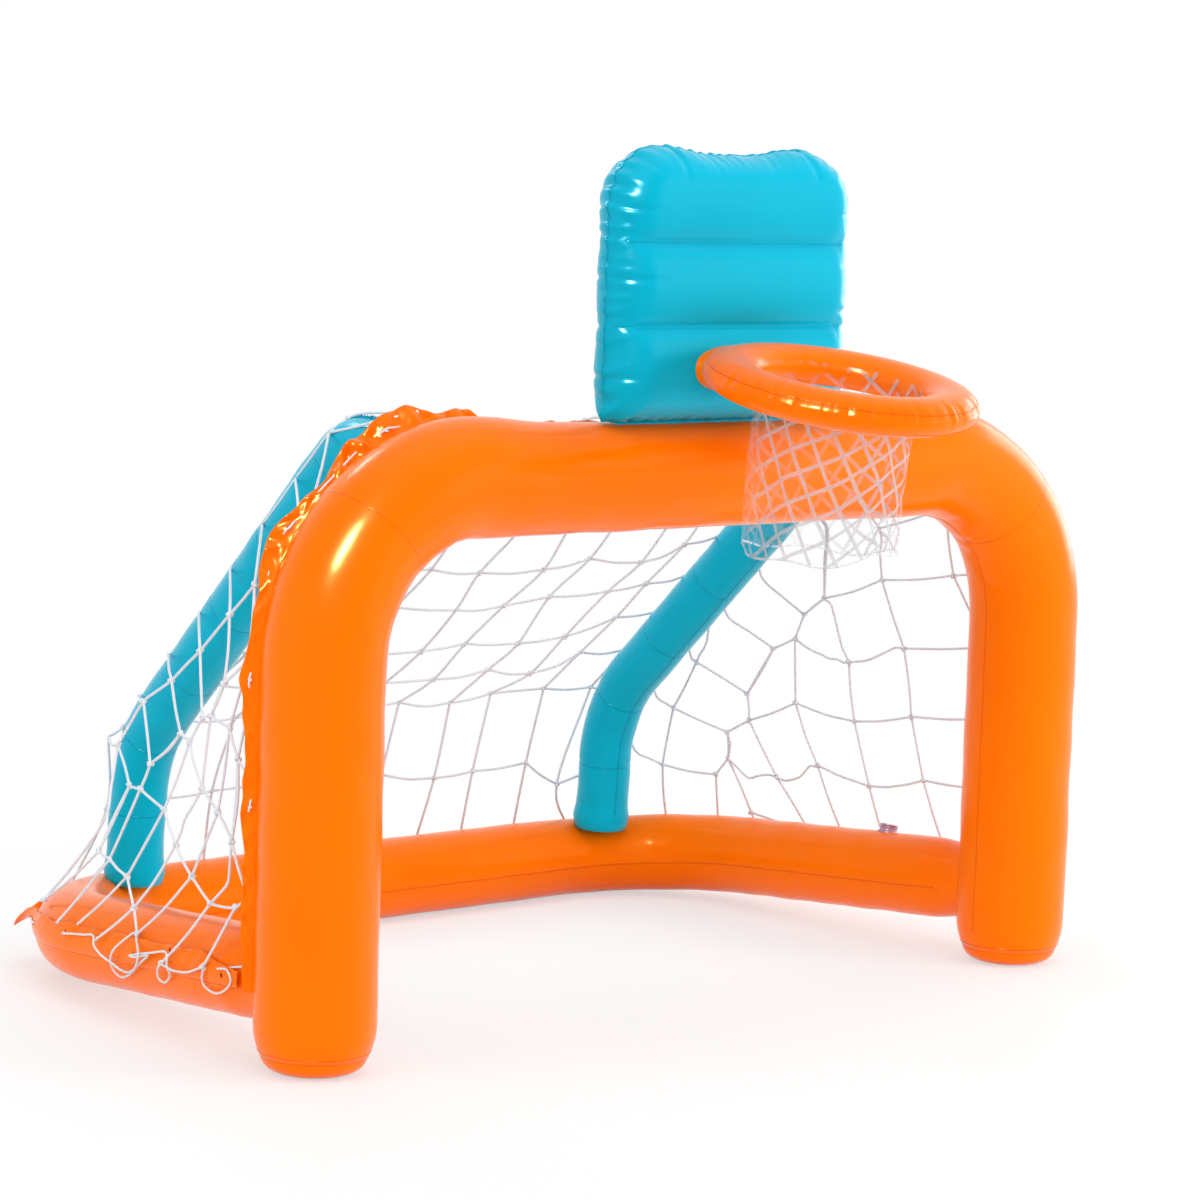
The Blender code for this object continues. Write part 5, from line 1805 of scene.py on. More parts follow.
class BaseFilm(Film):
    """The film along the outside of the base tube, folded to a point at both back corners."""

    tube_r: float = 0.0632
    start: float = 0.090
    low: float = math.radians(-10)
    high: float = math.radians(26)
    lift: float = 0.0045
    tab_length: float = 0.034
    tab_spread: float = 0.030
    rows: int = 12

    def __init__(self) -> None:
        """Takes the base tube's centre line between the legs, and finds both back corners."""
        tube = BaseTube()
        points = tube.route().samples(ROUTE_PITCH)
        along = distances(points)
        super().__init__(points[np.abs(along - along[-1] / 2) <= along[-1] / 2 - self.start + ROUTE_PITCH / 2])
        side = math.hypot(HALF_SPACING - tube.half_width, tube.depth, tube.front_z - tube.radius)
        tab = side - tube.bend + math.pi / 4 * tube.bend - self.start
        self.tabs = (tab, self.length - tab)

    def level(self, s: np.ndarray) -> np.ndarray:
        """The level direction away from the goal.

        Args:
            s: Distances along the tube.

        Returns:
            A direction with a length of 1 at each.
        """
        out = np.cross(self.line.at(s)[1], -UP)
        out[..., 2] = 0
        return unit(out)

    def outward(self, s: float) -> np.ndarray:
        """A direction on the film's outer side."""
        return self.level(np.array([s]))[0] + np.array((0, 0, -0.3))

    def place(self, s: np.ndarray, share: np.ndarray) -> np.ndarray:
        """Points of the film at distances and shares of its width."""
        return self.folded(s, share, self.tab_length)

    def folded(self, s: np.ndarray, share: np.ndarray, tab_length: float) -> np.ndarray:
        """Points of the film with its corner folds.

        Args:
            s: Distances along the tube.
            share: Shares of the film's width.
            tab_length: How far the fold at a back corner stands out.

        Returns:
            The points.
        """
        point = self.line.at(s)[0]
        near = np.min([np.abs(s - tab) for tab in self.tabs], axis=0)
        tab = np.clip(1 - near / (2 * self.tab_spread), 0, 1) ** 1.5
        upper = np.clip(share - 0.5, 0, None)
        turn = np.minimum(share, 0.5) + upper * (1 - 1.7 * tab)
        end = smooth(np.minimum(s, self.length - s), -0.02, 0.10)
        angle = self.low + (self.high - self.low) * turn * (0.55 + 0.45 * end)
        angle = angle + 0.02 * share * wobble(s, 0.10, 15)
        out = self.tube_r + self.lift * np.minimum(2 * share, 1) * end + 2 * tab_length * tab * upper
        out = out + share * (0.0005 * wobble(s + 0.03 * share, 0.040, 9) + 0.0010 * wobble(s, 0.120, 10))
        fold = 0.0016 * np.sin(near * 200) * np.exp(-near / 0.035) * share
        out = np.maximum(out + fold, self.tube_r) - 0.0018 * np.clip(1 - 8 * share, 0, 1)
        return point + (self.level(s) * np.cos(angle)[:, None] + UP * np.sin(angle)[:, None]) * out[:, None]

    def rim(self, s: float) -> np.ndarray:
        """A point just over the film's free edge, as it runs without the corner folds."""
        return self.folded(np.array([s]), np.array([0.97]), 0.0001)[0] + UP * 0.0025

    def eyelets(self) -> list[tuple[float, float]]:
        """The eyelets' distances and shares of the width."""
        first = [(0.035, 0.52), (0.166, 0.80), (0.254, 0.46), (0.353, 0.80), (0.441, 0.68)]
        return first + [(float(s), 0.62) for s in np.linspace(0.545, self.length - 0.05, 17)]

    def under(self, x: float) -> float:
        """The distance at which the film's edge behind the goal has a given X."""
        s = np.linspace(self.tabs[0] - 0.1, self.tabs[1] + 0.1, 1500)
        return float(np.interp(x, self.line.at(s)[0][:, 0], s))


@dataclass(frozen=True)
class TracedNet:
    """A side's net as the photograph shows it: tied knots, plain points, and strings as runs of their names.

    A string's name list ends in * where two strings lie side by side.
    """

    knots: dict[str, tuple[float, float, float]]
    points: dict[str, tuple[float, float, float]]
    strings: tuple[str, ...]


LEFT_NET = TracedNet({
    "tie": (-0.715, -0.113, 0.634), "a2": (-0.658, 0.020, 0.577), "a3": (-0.636, 0.117, 0.516),
    "a4": (-0.626, 0.197, 0.465), "a5": (-0.615, 0.280, 0.424), "a6": (-0.633, 0.314, 0.360),
    "b7": (-0.665, 0.188, 0.353), "b8": (-0.671, 0.109, 0.406), "b9": (-0.665, 0.237, 0.316),
    "b10": (-0.673, 0.199, 0.317), "b11": (-0.691, 0.115, 0.303), "c12": (-0.680, 0.286, 0.218),
    "c13": (-0.684, 0.254, 0.212), "c14": (-0.691, 0.200, 0.197), "b15": (-0.702, 0.070, 0.263),
    "c16": (-0.708, 0.024, 0.227), "c17": (-0.703, 0.165, 0.160), "c18": (-0.716, -0.031, 0.200),
    "c19": (-0.722, -0.095, 0.206), "c20": (-0.722, -0.122, 0.226), "d21": (-0.7035, 0.1556, 0.1255),
    "d22": (-0.7225, 0.0695, 0.1025), "d23": (-0.7235, -0.0279, 0.1150), "corner": (-0.6590, 0.4553, 0.1185),
    "n1": (-0.684, 0.041, 0.437), "n2": (-0.693, 0.009, 0.445), "n3": (-0.717, -0.067, 0.441),
    "n4": (-0.682, 0.072, 0.400), "n5": (-0.722, -0.094, 0.403), "n6": (-0.702, 0.013, 0.348),
    "n7": (-0.717, -0.045, 0.325), "n8": (-0.722, -0.084, 0.292), "n9": (-0.725, -0.116, 0.537),
    "n10": (-0.701, -0.031, 0.494),
}, {
    "w": (-0.669, 0.291, 0.260), "e60": (-0.7010, 0.3578, 0.1060), "e81": (-0.7045, 0.3000, 0.1145),
    "e98": (-0.7150, 0.2409, 0.1035), "e255": (-0.7150, -0.1210, 0.1400), "f1": (-0.725, -0.121, 0.386),
    "f2": (-0.726, -0.121, 0.490), "f3": (-0.722, -0.123, 0.300), "m1": (-0.703, 0.050, 0.300),
    "m2": (-0.716, -0.070, 0.235), "e20": (-0.716, -0.122, 0.160),
}, (
    "s3 tie", "tie a2 a3 a4 a5 a6", "s4 a2", "s5 a3 n1", "s6 a4 b8", "s7 a5 b7", "s8 a6", "a2 n10", "n10 n2*",
    "n10 n9", "n9 n3", "n1 n2 n3", "n1 n4", "b8 n4", "b8 b7*", "n2 n6", "n4 n6", "n4 b11", "n3 n5", "n3 n7", "n5 f1",
    "n5 n8*", "n5 f2", "n6 n7", "n6 m1 b15", "n7 c16", "n7 n8", "n8 c20", "n8 m2 c18", "b15 b11", "b15 c16",
    "b15 c17", "c16 c18", "c16 d21", "c18 c19 c20", "c19 d23", "c20 e20 e255", "b11 b10", "b11 c14", "b10 b9",
    "b10 b7", "b10 c13", "b9 a6", "b9 c12*", "c12 c13 c14", "c12 corner", "c13 e60", "c14 e81", "c14 c17", "c17 e98",
    "c17 d21", "c18 d22", "a6 w corner", "n9 f2 f1 f3 c20", "tie n9*", "s1 s2", "s2 s3", "s1 g1", "s2 g2", "s1 g0",
))
RIGHT_NET = TracedNet({
    "k1": (0.606, 0.177, 0.519), "k2": (0.602, 0.217, 0.489), "k3": (0.610, 0.244, 0.447),
    "k4": (0.602, 0.284, 0.427), "k5": (0.616, 0.356, 0.344), "k6": (0.632, 0.366, 0.298),
    "k7": (0.643, 0.271, 0.338), "k8": (0.624, 0.408, 0.274), "k9": (0.637, 0.418, 0.228),
    "k10": (0.635, 0.444, 0.198), "k11": (0.577, 0.511, 0.210), "k12": (0.565, 0.476, 0.309),
    "k13": (0.548, 0.406, 0.394), "k14": (0.647, 0.158, 0.417), "k15": (0.633, 0.078, 0.557),
    "k16": (0.679, -0.031, 0.573), "k17": (0.671, 0.061, 0.449), "k18": (0.671, 0.164, 0.320),
    "k19": (0.690, 0.057, 0.340), "k20": (0.674, 0.246, 0.237), "k21": (0.668, 0.334, 0.207),
    "k22": (0.690, 0.144, 0.217), "k23": (0.704, 0.039, 0.240), "k24": (0.675, 0.398, 0.138),
    "corner": (0.6590, 0.4553, 0.1185),
}, {
    "e1": (0.544, 0.253, 0.544), "e2": (0.541, 0.327, 0.476), "e3": (0.539, 0.408, 0.400),
    "e4": (0.537, 0.487, 0.328), "e5": (0.533, 0.531, 0.234), "e6": (0.541, 0.376, 0.430),
    "a1": (0.716, -0.095, 0.468), "a2": (0.720, -0.095, 0.356), "a3": (0.725, -0.095, 0.246),
    "a4": (0.705, -0.100, 0.584), "a5": (0.655, -0.032, 0.680), "a6": (0.722, -0.105, 0.420),
    "t1": (0.610, 0.066, 0.640), "t2": (0.560, 0.135, 0.640), "b1": (0.606, 0.529, 0.1145),
    "b2": (0.6595, 0.460, 0.114), "b3": (0.686, 0.400, 0.1165), "b4": (0.700, 0.288, 0.123),
    "b5": (0.706, 0.218, 0.130), "b6": (0.711, 0.130, 0.138), "b7": (0.721, 0.010, 0.147),
    "w1": (0.657, 0.389, 0.198), "w2": (0.663, 0.354, 0.208), "w3": (0.671, 0.316, 0.203),
    "w4": (0.673, 0.286, 0.213), "w5": (0.671, 0.261, 0.235), "w6": (0.681, 0.209, 0.227),
    "w7": (0.697, 0.105, 0.221), "w8": (0.656, 0.127, 0.423), "w9": (0.666, 0.078, 0.448),
    "w10": (0.631, 0.205, 0.425), "w11": (0.640, 0.178, 0.420), "w12": (0.614, 0.169, 0.509),
    "w13": (0.638, 0.166, 0.442),
}, (
    "s3 t2 k1*", "k1 k2*", "s4 e1 k2", "k2 k3", "k3 k4", "s5 e2 k4", "k4 k5*", "k5 k13", "s6 e3 k13", "s5 e6 k13",
    "k13 k12", "s7 e4 k12", "k12 k11", "k12 k8", "s8 e5 k11", "k11 k10", "k11 b1", "k10 b2", "k10 k9", "k9 k8*",
    "k8 k6", "k6 k5", "k6 k7", "k6 k21", "k9 k24", "k9 w1 w2 k21", "k21 b4", "k21 w3 w4 w5 k20", "k7 k3", "k7 k18",
    "k7 k20", "k3 w10 w11 k14", "k1 w12 w13 k14", "k1 k15", "k15 k16", "k15 k17", "k15 t1 s2", "k16 a4", "k16 a5",
    "k16 a6", "k17 w9 w8 k14", "k17 a1", "k17 k19", "k14 k18", "k18 k19", "k19 a2", "k18 k22", "k20 w6 k22", "k22 b6",
    "k20 b5", "k19 k23", "k22 w7 k23", "k23 a3", "k23 b7", "k24 b3", "k24 b4", "t1 a5", "a1 h1", "a2 h2", "a3 h3",
    "a4 h4", "a5 h5", "a6 h6",
))


@dataclass
class Nets:
    """The string net: roof and slope, back and both sides, tied to the films and laid over the struts."""

    arch_film: ArchFilm
    base_film: BaseFilm
    side_r: float = 0.0019
    fine_r: float = 0.0020
    knot: float = 0.0036
    wrap: float = 0.0480
    wrap_angle: float = math.radians(37)
    sag: float = 0.045
    grid_pitch: float = 0.012
    grid_slack: float = 0.025
    side_pitch: float = 0.010
    side_slack: float = 0.020
    second_strand: tuple[float, float, float] = (0.0, -0.0042, 0.0016)
    shoulder_pull: tuple[float, float] = (0.94, 0.012)
    strut_pull: tuple[float, float] = (0.90, 0.036)
    left_ties: tuple[float, ...] = (0.765, 0.625, 0.598)
    right_ties: tuple[float, ...] = (0.357, 0.248, 0.150, 0.467, 0.553, 0.303)
    tie_share: float = 0.85
    tie_lift: float = 0.003
    columns: int = 9
    slope_rows: int = 7
    back_rows: int = 2
    foot_z: float = 0.106
    knee_y: float = 0.196
    top_z: float = 0.789

    def row(self, index: int) -> tuple[np.ndarray, np.ndarray]:
        """A row's place on the right strut's axis, between the knee and the bend.

        Args:
            index: The row's number, 0 at the knee.

        Returns:
            The place and the direction away from the axis.
        """
        strut = Strut(Side.RIGHT, foot_z=self.foot_z, knee_y=self.knee_y, top_z=self.top_z)
        line = [np.array(corner) for corner in reversed(strut.route().corners)]
        frames = []
        for k in (1, 2):
            before, after = unit(line[k - 1] - line[k]), unit(line[k + 1] - line[k])
            half = math.acos(float(before @ after)) / 2
            frames.append((line[k], -unit(before + after) / math.sin(half)))
        share = index / self.slope_rows
        return tuple(a + (b - a) * share for a, b in zip(*frames))

    def over_strut(self, index: int, x: float) -> np.ndarray:
        """A point of the net at a row, over a strut or at the shoulder outside it.

        Args:
            index: The row's number.
            x: The point's X.

        Returns:
            The point.
        """
        centre, away = self.row(index)
        shoulder = abs(x) > centre[0] + 0.001
        height = self.wrap * (math.sin(self.wrap_angle) if shoulder else 1.0)
        return np.array((x, centre[1] + away[1] * height, centre[2] + away[2] * height))

    def shoulder_x(self, index: int) -> float:
        """How far from the middle the net passes over the outer shoulder of a strut."""
        return float(self.row(index)[0][0]) + self.wrap * math.cos(self.wrap_angle)

    def column_x(self, column: int, index: int) -> float:
        """The place of a column: the outer two at the shoulders, the rest between the struts.

        Args:
            column: The column's number, 0 on the left.
            index: The row's number.

        Returns:
            The column's X at that row.
        """
        half = float(self.row(index)[0][0])
        if column in (0, self.columns + 2):
            return math.copysign(self.shoulder_x(index), column - 1)
        return -half + 2 * half * (column - 1) / self.columns

    @staticmethod
    def jitter(point: np.ndarray, seed: int, size: float = 0.005) -> np.ndarray:
        """Moves a free knot a little, as a knot tied by hand lies."""
        return point + np.random.default_rng(seed).normal(size=3) * size

    def slope_grid(self) -> list[list[np.ndarray]]:
        """The knots of the roof and slope.

        Returns:
            The knots row by row, from the arch down.
        """
        rows = []
        for index in range(self.slope_rows + 2):
            level = max(index - 1, 0)
            row = []
            for column in range(self.columns + 3):
                x = self.column_x(column, level)
                if index == 0:
                    row.append(self.arch_film.at(self.arch_film.above(x), 0.80, self.tie_lift))
                    continue
                share = index / (self.slope_rows + 1)
                inside = max(0.0, 1 - (x / Strut.top_x) ** 2)
                hang = self.sag * inside * math.sin(math.pi * share) ** 0.5 if share < 1 else 0.0
                point = self.over_strut(level, x) - np.array((0, 0.6 * hang, 0.8 * hang))
                if 1 < column < self.columns + 1:
                    point = self.jitter(point, 100 * index + column)
                row.append(point)
            rows.append(row)
        return rows

    def back_grid(self, top: list[np.ndarray]) -> list[list[np.ndarray]]:
        """The knots of the back.

        Args:
            top: The slope's last row.

        Returns:
            The knots row by row, from that row down to the base film.
        """
        lower = [self.base_film.rim(self.base_film.under(float(point[0]))) for point in top]
        rows = [top]
        for index in range(1, self.back_rows):
            share = index / self.back_rows
            row = [self.jitter(a + (b - a) * share, 900 + 20 * index + k)
                   for k, (a, b) in enumerate(zip(top, lower))]
            for point in (row[0], row[-1]):
                point[0] *= self.shoulder_pull[0]
                point[1] -= self.shoulder_pull[1]
            for point in (row[1], row[-2]):
                point[0] *= self.strut_pull[0]
                point[2] -= self.strut_pull[1]
            rows.append(row)
        return [*rows, lower]

    def grid_work(self, rows: list[list[np.ndarray]], first_row: bool = True,
                  columns: Iterable[int] | None = None) -> StringWork:
        """Ties a grid of knots with strings.

        Args:
            rows: The knots row by row.
            first_row: True if the strings along the first row are wanted.
            columns: The columns whose strings run down the panel, or all of them.

        Returns:
            The strings and knots.
        """
        work = StringWork()
        columns = list(range(len(rows[0]))) if columns is None else list(columns)
        for index, row in enumerate(rows):
            if index or first_row:
                for k, (a, b) in enumerate(zip(row, row[1:])):
                    middle = (a + b) / 2 - UP * np.linalg.norm(b - a) * self.grid_slack
                    middle = self.jitter(middle, index * 31 + k, 0.0015)
                    work.strand(flow([a, middle, b], self.grid_pitch), self.fine_r)
        for column in columns:
            work.strand(flow([row[column] for row in rows], self.grid_pitch), self.fine_r)
        for index, row in enumerate(rows):
            for column in range(len(row)):
                if (index or first_row) and column in columns:
                    work.knot(row[column], self.knot, index * 40 + column)
        return work

    def traced_work(self, net: TracedNet, shoulder: list[np.ndarray]) -> StringWork:
        """Ties a side's traced strings.

        Args:
            net: The side's knots, points and strings.
            shoulder: The slope's knots over the strut's outer shoulder, row by row.

        Returns:
            The strings and knots.
        """
        places = {name: np.array(place) for name, place in {**net.knots, **net.points}.items()}
        places |= {f"s{index}": point for index, point in enumerate(shoulder)}
        film = self.arch_film
        for mark, side, ties, first in (("g", Side.LEFT, self.left_ties, 0), ("h", Side.RIGHT, self.right_ties, 1)):
            places |= {f"{mark}{index}": film.at(film.side(s, side), self.tie_share, self.tie_lift)
                       for index, s in enumerate(ties, first)}
        work = StringWork()
        for index, text in enumerate(net.strings):
            names = text.rstrip("*").split()
            points = []
            for a, b in zip(names, names[1:]):
                start, end = places[a], places[b]
                middle = (start + end) / 2
                middle[2] -= self.side_slack * np.linalg.norm(end - start)
                points += [start, self.jitter(middle, 7000 + index, 0.0010)]
            points.append(places[names[-1]])
            line = flow(points, self.side_pitch)
            work.strand(line, self.side_r, 8)
            if text.endswith("*"):
                bow = np.sin(np.linspace(0, math.pi, len(line)))[:, None] * np.array(self.second_strand)
                work.strand(line + bow, self.side_r, 8)
        for index, place in enumerate(net.knots.values()):
            work.knot(np.array(place), self.knot * 1.1, index)
        return work

    def build(self, palette: Palette) -> None:
        """Builds the four panels.

        Args:
            palette: The materials.
        """
        slope = self.slope_grid()
        back = self.back_grid(slope[-1])
        inner = range(1, self.columns + 2)
        for name, work in (
                ("net_slope", self.grid_work(slope, columns=inner)),
                ("net_back", self.grid_work(back, False)),
                ("net_left", self.traced_work(LEFT_NET, [row[0] for row in slope])),
                ("net_right", self.traced_work(RIGHT_NET, [row[-1] for row in slope]))):
            palette.place(work.build(name + "_strings"), Slot.STRING, FRAME_BODY, [name])


# The left end of the base cord with its hanging loops, in tenths of a millimetre.
LACING_LEFT = (
    (-7139, -1107, 1295), (-7161, -829, 1232), (-7192, -557, 1170), (-7222, -640, 1190), (-7226, -800, 1205),
    (-7226, -900, 1076), (-7220, -790, 940), (-7190, -560, 838), (-7160, -358, 828), (-7170, -222, 880),
    (-7225, -243, 1000), (-7240, -267, 1135), (-7250, 49, 1022), (-7226, 379, 974), (-7224, 545, 984),
    (-7226, 700, 1010), (-7200, 817, 915), (-7140, 874, 775), (-7125, 742, 740), (-7175, 559, 876),
    (-7245, 540, 1020), (-7235, 560, 1150), (-7185, 700, 1180), (-7220, 958, 1120), (-7200, 1246, 1052),
    (-7200, 1493, 985), (-7215, 1300, 1000), (-7240, 1000, 1080), (-7180, 1272, 915), (-7085, 1581, 725),
    (-7035, 1890, 592), (-7050, 2071, 650), (-7115, 2070, 795), (-7185, 1910, 978), (-7150, 1745, 1130),
    (-7040, 1600, 1270), (-7080, 1500, 1180), (-7260, 1200, 1060), (-7200, 1338, 860), (-7095, 1654, 712),
    (-7090, 1874, 714), (-7110, 2058, 778), (-7125, 2260, 835), (-7165, 2404, 960), (-7130, 2484, 1085),
    (-7090, 2800, 1038), (-7085, 3083, 1002), (-7085, 3300, 970),
)


@dataclass
class Lacing:
    """The border cords that run through the films' eyelets."""

    radius: float = 0.0015
    lift: float = 0.0024
    stations: tuple[float, ...] = (0.06, 0.25, 0.5, 0.75, 0.94)

    def weave(self, film: Film, holes: Sequence[tuple[float, float]], first: int) -> list[np.ndarray]:
        """The way of a cord in and out through eyelets.

        Args:
            film: The film.
            holes: The eyelets' distances and shares of the width.
            first: 1 if the first stretch lies on the outer side, -1 if it lies behind the film.

        Returns:
            The points of its middle line.
        """
        points, side = [], first
        for (s, share), (after, after_share) in zip(holes, holes[1:]):
            for t in self.stations:
                place = s + (after - s) * t
                wave = 0.08 * math.sin(place * 61) * math.sin(math.pi * t)
                points.append(film.at(place, share + (after_share - share) * t + wave, side * self.lift))
            side = -side
        return points

    def place(self, name: str, points: Sequence[np.ndarray], palette: Palette, node: str) -> None:
        """Builds one cord and says how long it is.

        Args:
            name: The piece's name.
            points: Its middle line.
            palette: The materials.
            node: The CAD node that it replaces.
        """
        line = flow(points, ROUTE_PITCH)
        work = StringWork()
        work.strand(line, self.radius, 8)
        palette.place(work.build(name), Slot.STRING, FRAME_BODY, [node])
        log.info("%s: %.3f m long", name, distances(line)[-1])

    def build(self, palette: Palette, arch_film: ArchFilm, base_film: BaseFilm) -> None:
        """Builds both cords.

        Args:
            palette: The materials.
            arch_film: The film round the arch.
            base_film: The film along the base tube.
        """
        holes = [(s + step, share + rise) for s, share in arch_film.eyelets()
                 for step, rise in ((-0.006, 0.04), (0.006, -0.04))]
        self.place("arch_lacing_string", self.weave(arch_film, holes, -1), palette, "arch_lacing_cord")
        traced = [np.array(place) / 10000 for place in LACING_LEFT]
        rest = self.weave(base_film, base_film.eyelets()[4:], -1)
        self.place("base_lacing_string", [*traced, *rest], palette, "base_lacing_cord")


@dataclass(frozen=True)
class ValveSize:
    """The sizes of a fill valve."""

    collar_r: float
    height: float
    bore_r: float
    plug_depth: float


class ValveKind(Enum):
    """The two sizes of fill valve."""

    BIG = ValveSize(0.0165, 0.0095, 0.0115, 0.0060)
    SMALL = ValveSize(0.0095, 0.0085, 0.0050, 0.0055)


@dataclass
class Valve:
    """A chamber's fill valve: a moulded collar on the film and its push-in plug."""

    chamber: str
    kind: ValveKind
    body: str
    place: tuple[float, float, float]
    facing: tuple[float, float, float]
    lug: tuple[float, float, float]
    steps: int = 48
    head: float = 0.0022

    def frame(self) -> Matrix:
        """The valve's own frame.

        Returns:
            A frame whose Z points out of the film and whose X runs along the plug's lug.
        """
        z = Vector(self.facing).normalized()
        y = z.cross(Vector(self.lug)).normalized()
        return Matrix.Translation(self.place) @ Matrix((y.cross(z), y, z)).transposed().to_4x4()

    def turned(self, name: str, profile: Sequence[tuple[float, float]], closed: bool) -> bpy.types.Object:
        """Spins a profile round the valve's axis.

        Args:
            name: The piece's name.
            profile: Distances from the axis and heights.
            closed: True if the profile runs back to its start.

        Returns:
            The turned piece in the valve's own frame.
        """
        count = len(profile)
        edges = [(k, k + 1) for k in range(count - 1)] + ([(count - 1, 0)] if closed else [])
        obj = new_piece(name, [(r, 0, z) for r, z in profile], [], edges)
        start_edit(obj)
        bpy.ops.mesh.spin(steps=self.steps, angle=2 * math.pi, center=(0, 0, 0), axis=(0, 0, 1))
        end_edit(merge=0.00002)
        return obj

    def collar(self) -> bpy.types.Object:
        """The collar: a thin flange on the film, a short drum and a rounded lip.

        Returns:
            The collar in the valve's own frame.
        """
        size = self.kind.value
        top, bore, outer = size.height, size.bore_r, size.collar_r
        neck = bore + 0.0022
        profile = [
            (bore, -0.0035), (bore, top - 0.0007), (bore + 0.0003, top - 0.0002), (bore + 0.0008, top),
            (neck, top), (neck + 0.0005, top - 0.0003), (neck + 0.0006, top - 0.0010), (neck + 0.0004, top - 0.0017),
            (neck, top - 0.0021), (neck, 0.0034), (neck + 0.0004, 0.0022), (neck + 0.0016, 0.0015),
            (outer - 0.0010, 0.0011), (outer - 0.0002, 0.0007), (outer, -0.0035)]
        return self.turned(f"{self.chamber}_valve_collar_moulding", profile, True)

    def plug(self) -> bpy.types.Object:
        """The plug: a domed head with a grip ring, a stepped shaft and a lug to pull it by.

        Returns:
            The plug in the valve's own frame.
        """
        size = self.kind.value
        top = size.height + 0.0005
        crown, tip = top + self.head, top - size.plug_depth
        shaft, head = size.bore_r - 0.0005, size.bore_r + 0.0026
        profile = [
            (0, crown - 0.0006), (head * 0.45, crown - 0.0006), (head * 0.52, crown), (head * 0.80, crown),
            (head - 0.0005, crown - 0.0002), (head, crown - 0.0008), (head, top + 0.0003), (head - 0.0003, top),
            (shaft + 0.0003, top), (shaft, top - 0.0004), (shaft, top - size.plug_depth * 0.5),
            (shaft - 0.0004, top - size.plug_depth * 0.58), (shaft - 0.0004, tip + 0.0008), (shaft - 0.0012, tip),
            (0, tip)]
        obj = self.turned(f"{self.chamber}_valve_plug_moulding", profile, False)
        lug = primitive(bpy.ops.mesh.primitive_cube_add, "lug", (0.0070, 0.0045, self.head * 0.55), size=1,
                        location=(head + 0.0015, 0, top + self.head * 0.5))
        apply_modifier(lug, "BEVEL", width=0.0005, segments=3)
        boolean(obj, lug, "UNION")
        return obj

    def build(self, palette: Palette) -> None:
        """Builds both pieces at the chamber.

        Args:
            palette: The materials.
        """
        plug_body = f"{self.chamber}_valve_plug"
        for make, body, part in ((self.collar, self.body, "collar"), (self.plug, plug_body, "plug")):
            obj = make()
            obj.data.transform(self.frame())
            palette.place(obj, Slot.VALVE, body, [f"{self.chamber}_valve_{part}"])


def build_valves(palette: Palette) -> None:
    """Builds the fill valves of all six chambers.

    Args:
        palette: The materials.
    """
    down = (0, 0, -1)
    for valve in (
            Valve("base", ValveKind.BIG, FRAME_BODY, (0.6607, 0.0696, 0.1573), (0.208, 0, 0.978), (0, 1, 0)),
            Valve("arch", ValveKind.BIG, FRAME_BODY, (0.6625, -0.1139, 0.36), (0, 1, 0), down),
            Valve("backboard", ValveKind.SMALL, "backboard", (0.11, -0.1638, 0.9934), (0, 1, 0), down),
            Valve("hoop", ValveKind.SMALL, "hoop", (0.15, -0.4507, 0.8744), (0, 0.182, -0.983), (0, 0.983, 0.182)),
            Valve("strut_left", ValveKind.SMALL, FRAME_BODY, (-0.457, 0.5604, 0.215), (0, 1, 0), down),
            Valve("strut_right", ValveKind.SMALL, FRAME_BODY, (0.457, 0.5604, 0.215), (0, 1, 0), down)):
        valve.build(palette)


def build_films(palette: Palette) -> tuple[ArchFilm, BaseFilm]:
    """Builds both film strips and logs their lengths and mean widths.

    Args:
        palette: The materials.

    Returns:
        The film round the arch and the film along the base tube.
    """
    films = ArchFilm(), BaseFilm()
    for film, name, tube in zip(films, ("arch_flap", "base_flap"), ("front_arch", "base_tube")):
        obj = palette.place(film.build(name + "_film"), Slot.ORANGE, FRAME_BODY, [name])
        s = np.linspace(0, film.length, 800)
        widths = np.linalg.norm(film.place(s, np.ones(800)) - film.place(s, np.zeros(800)), axis=1)
        log.info("%s: %.3f m long, %.1f mm wide on average", name, film.length, 1000 * widths.mean())
        round(film.length, 3)
    return films


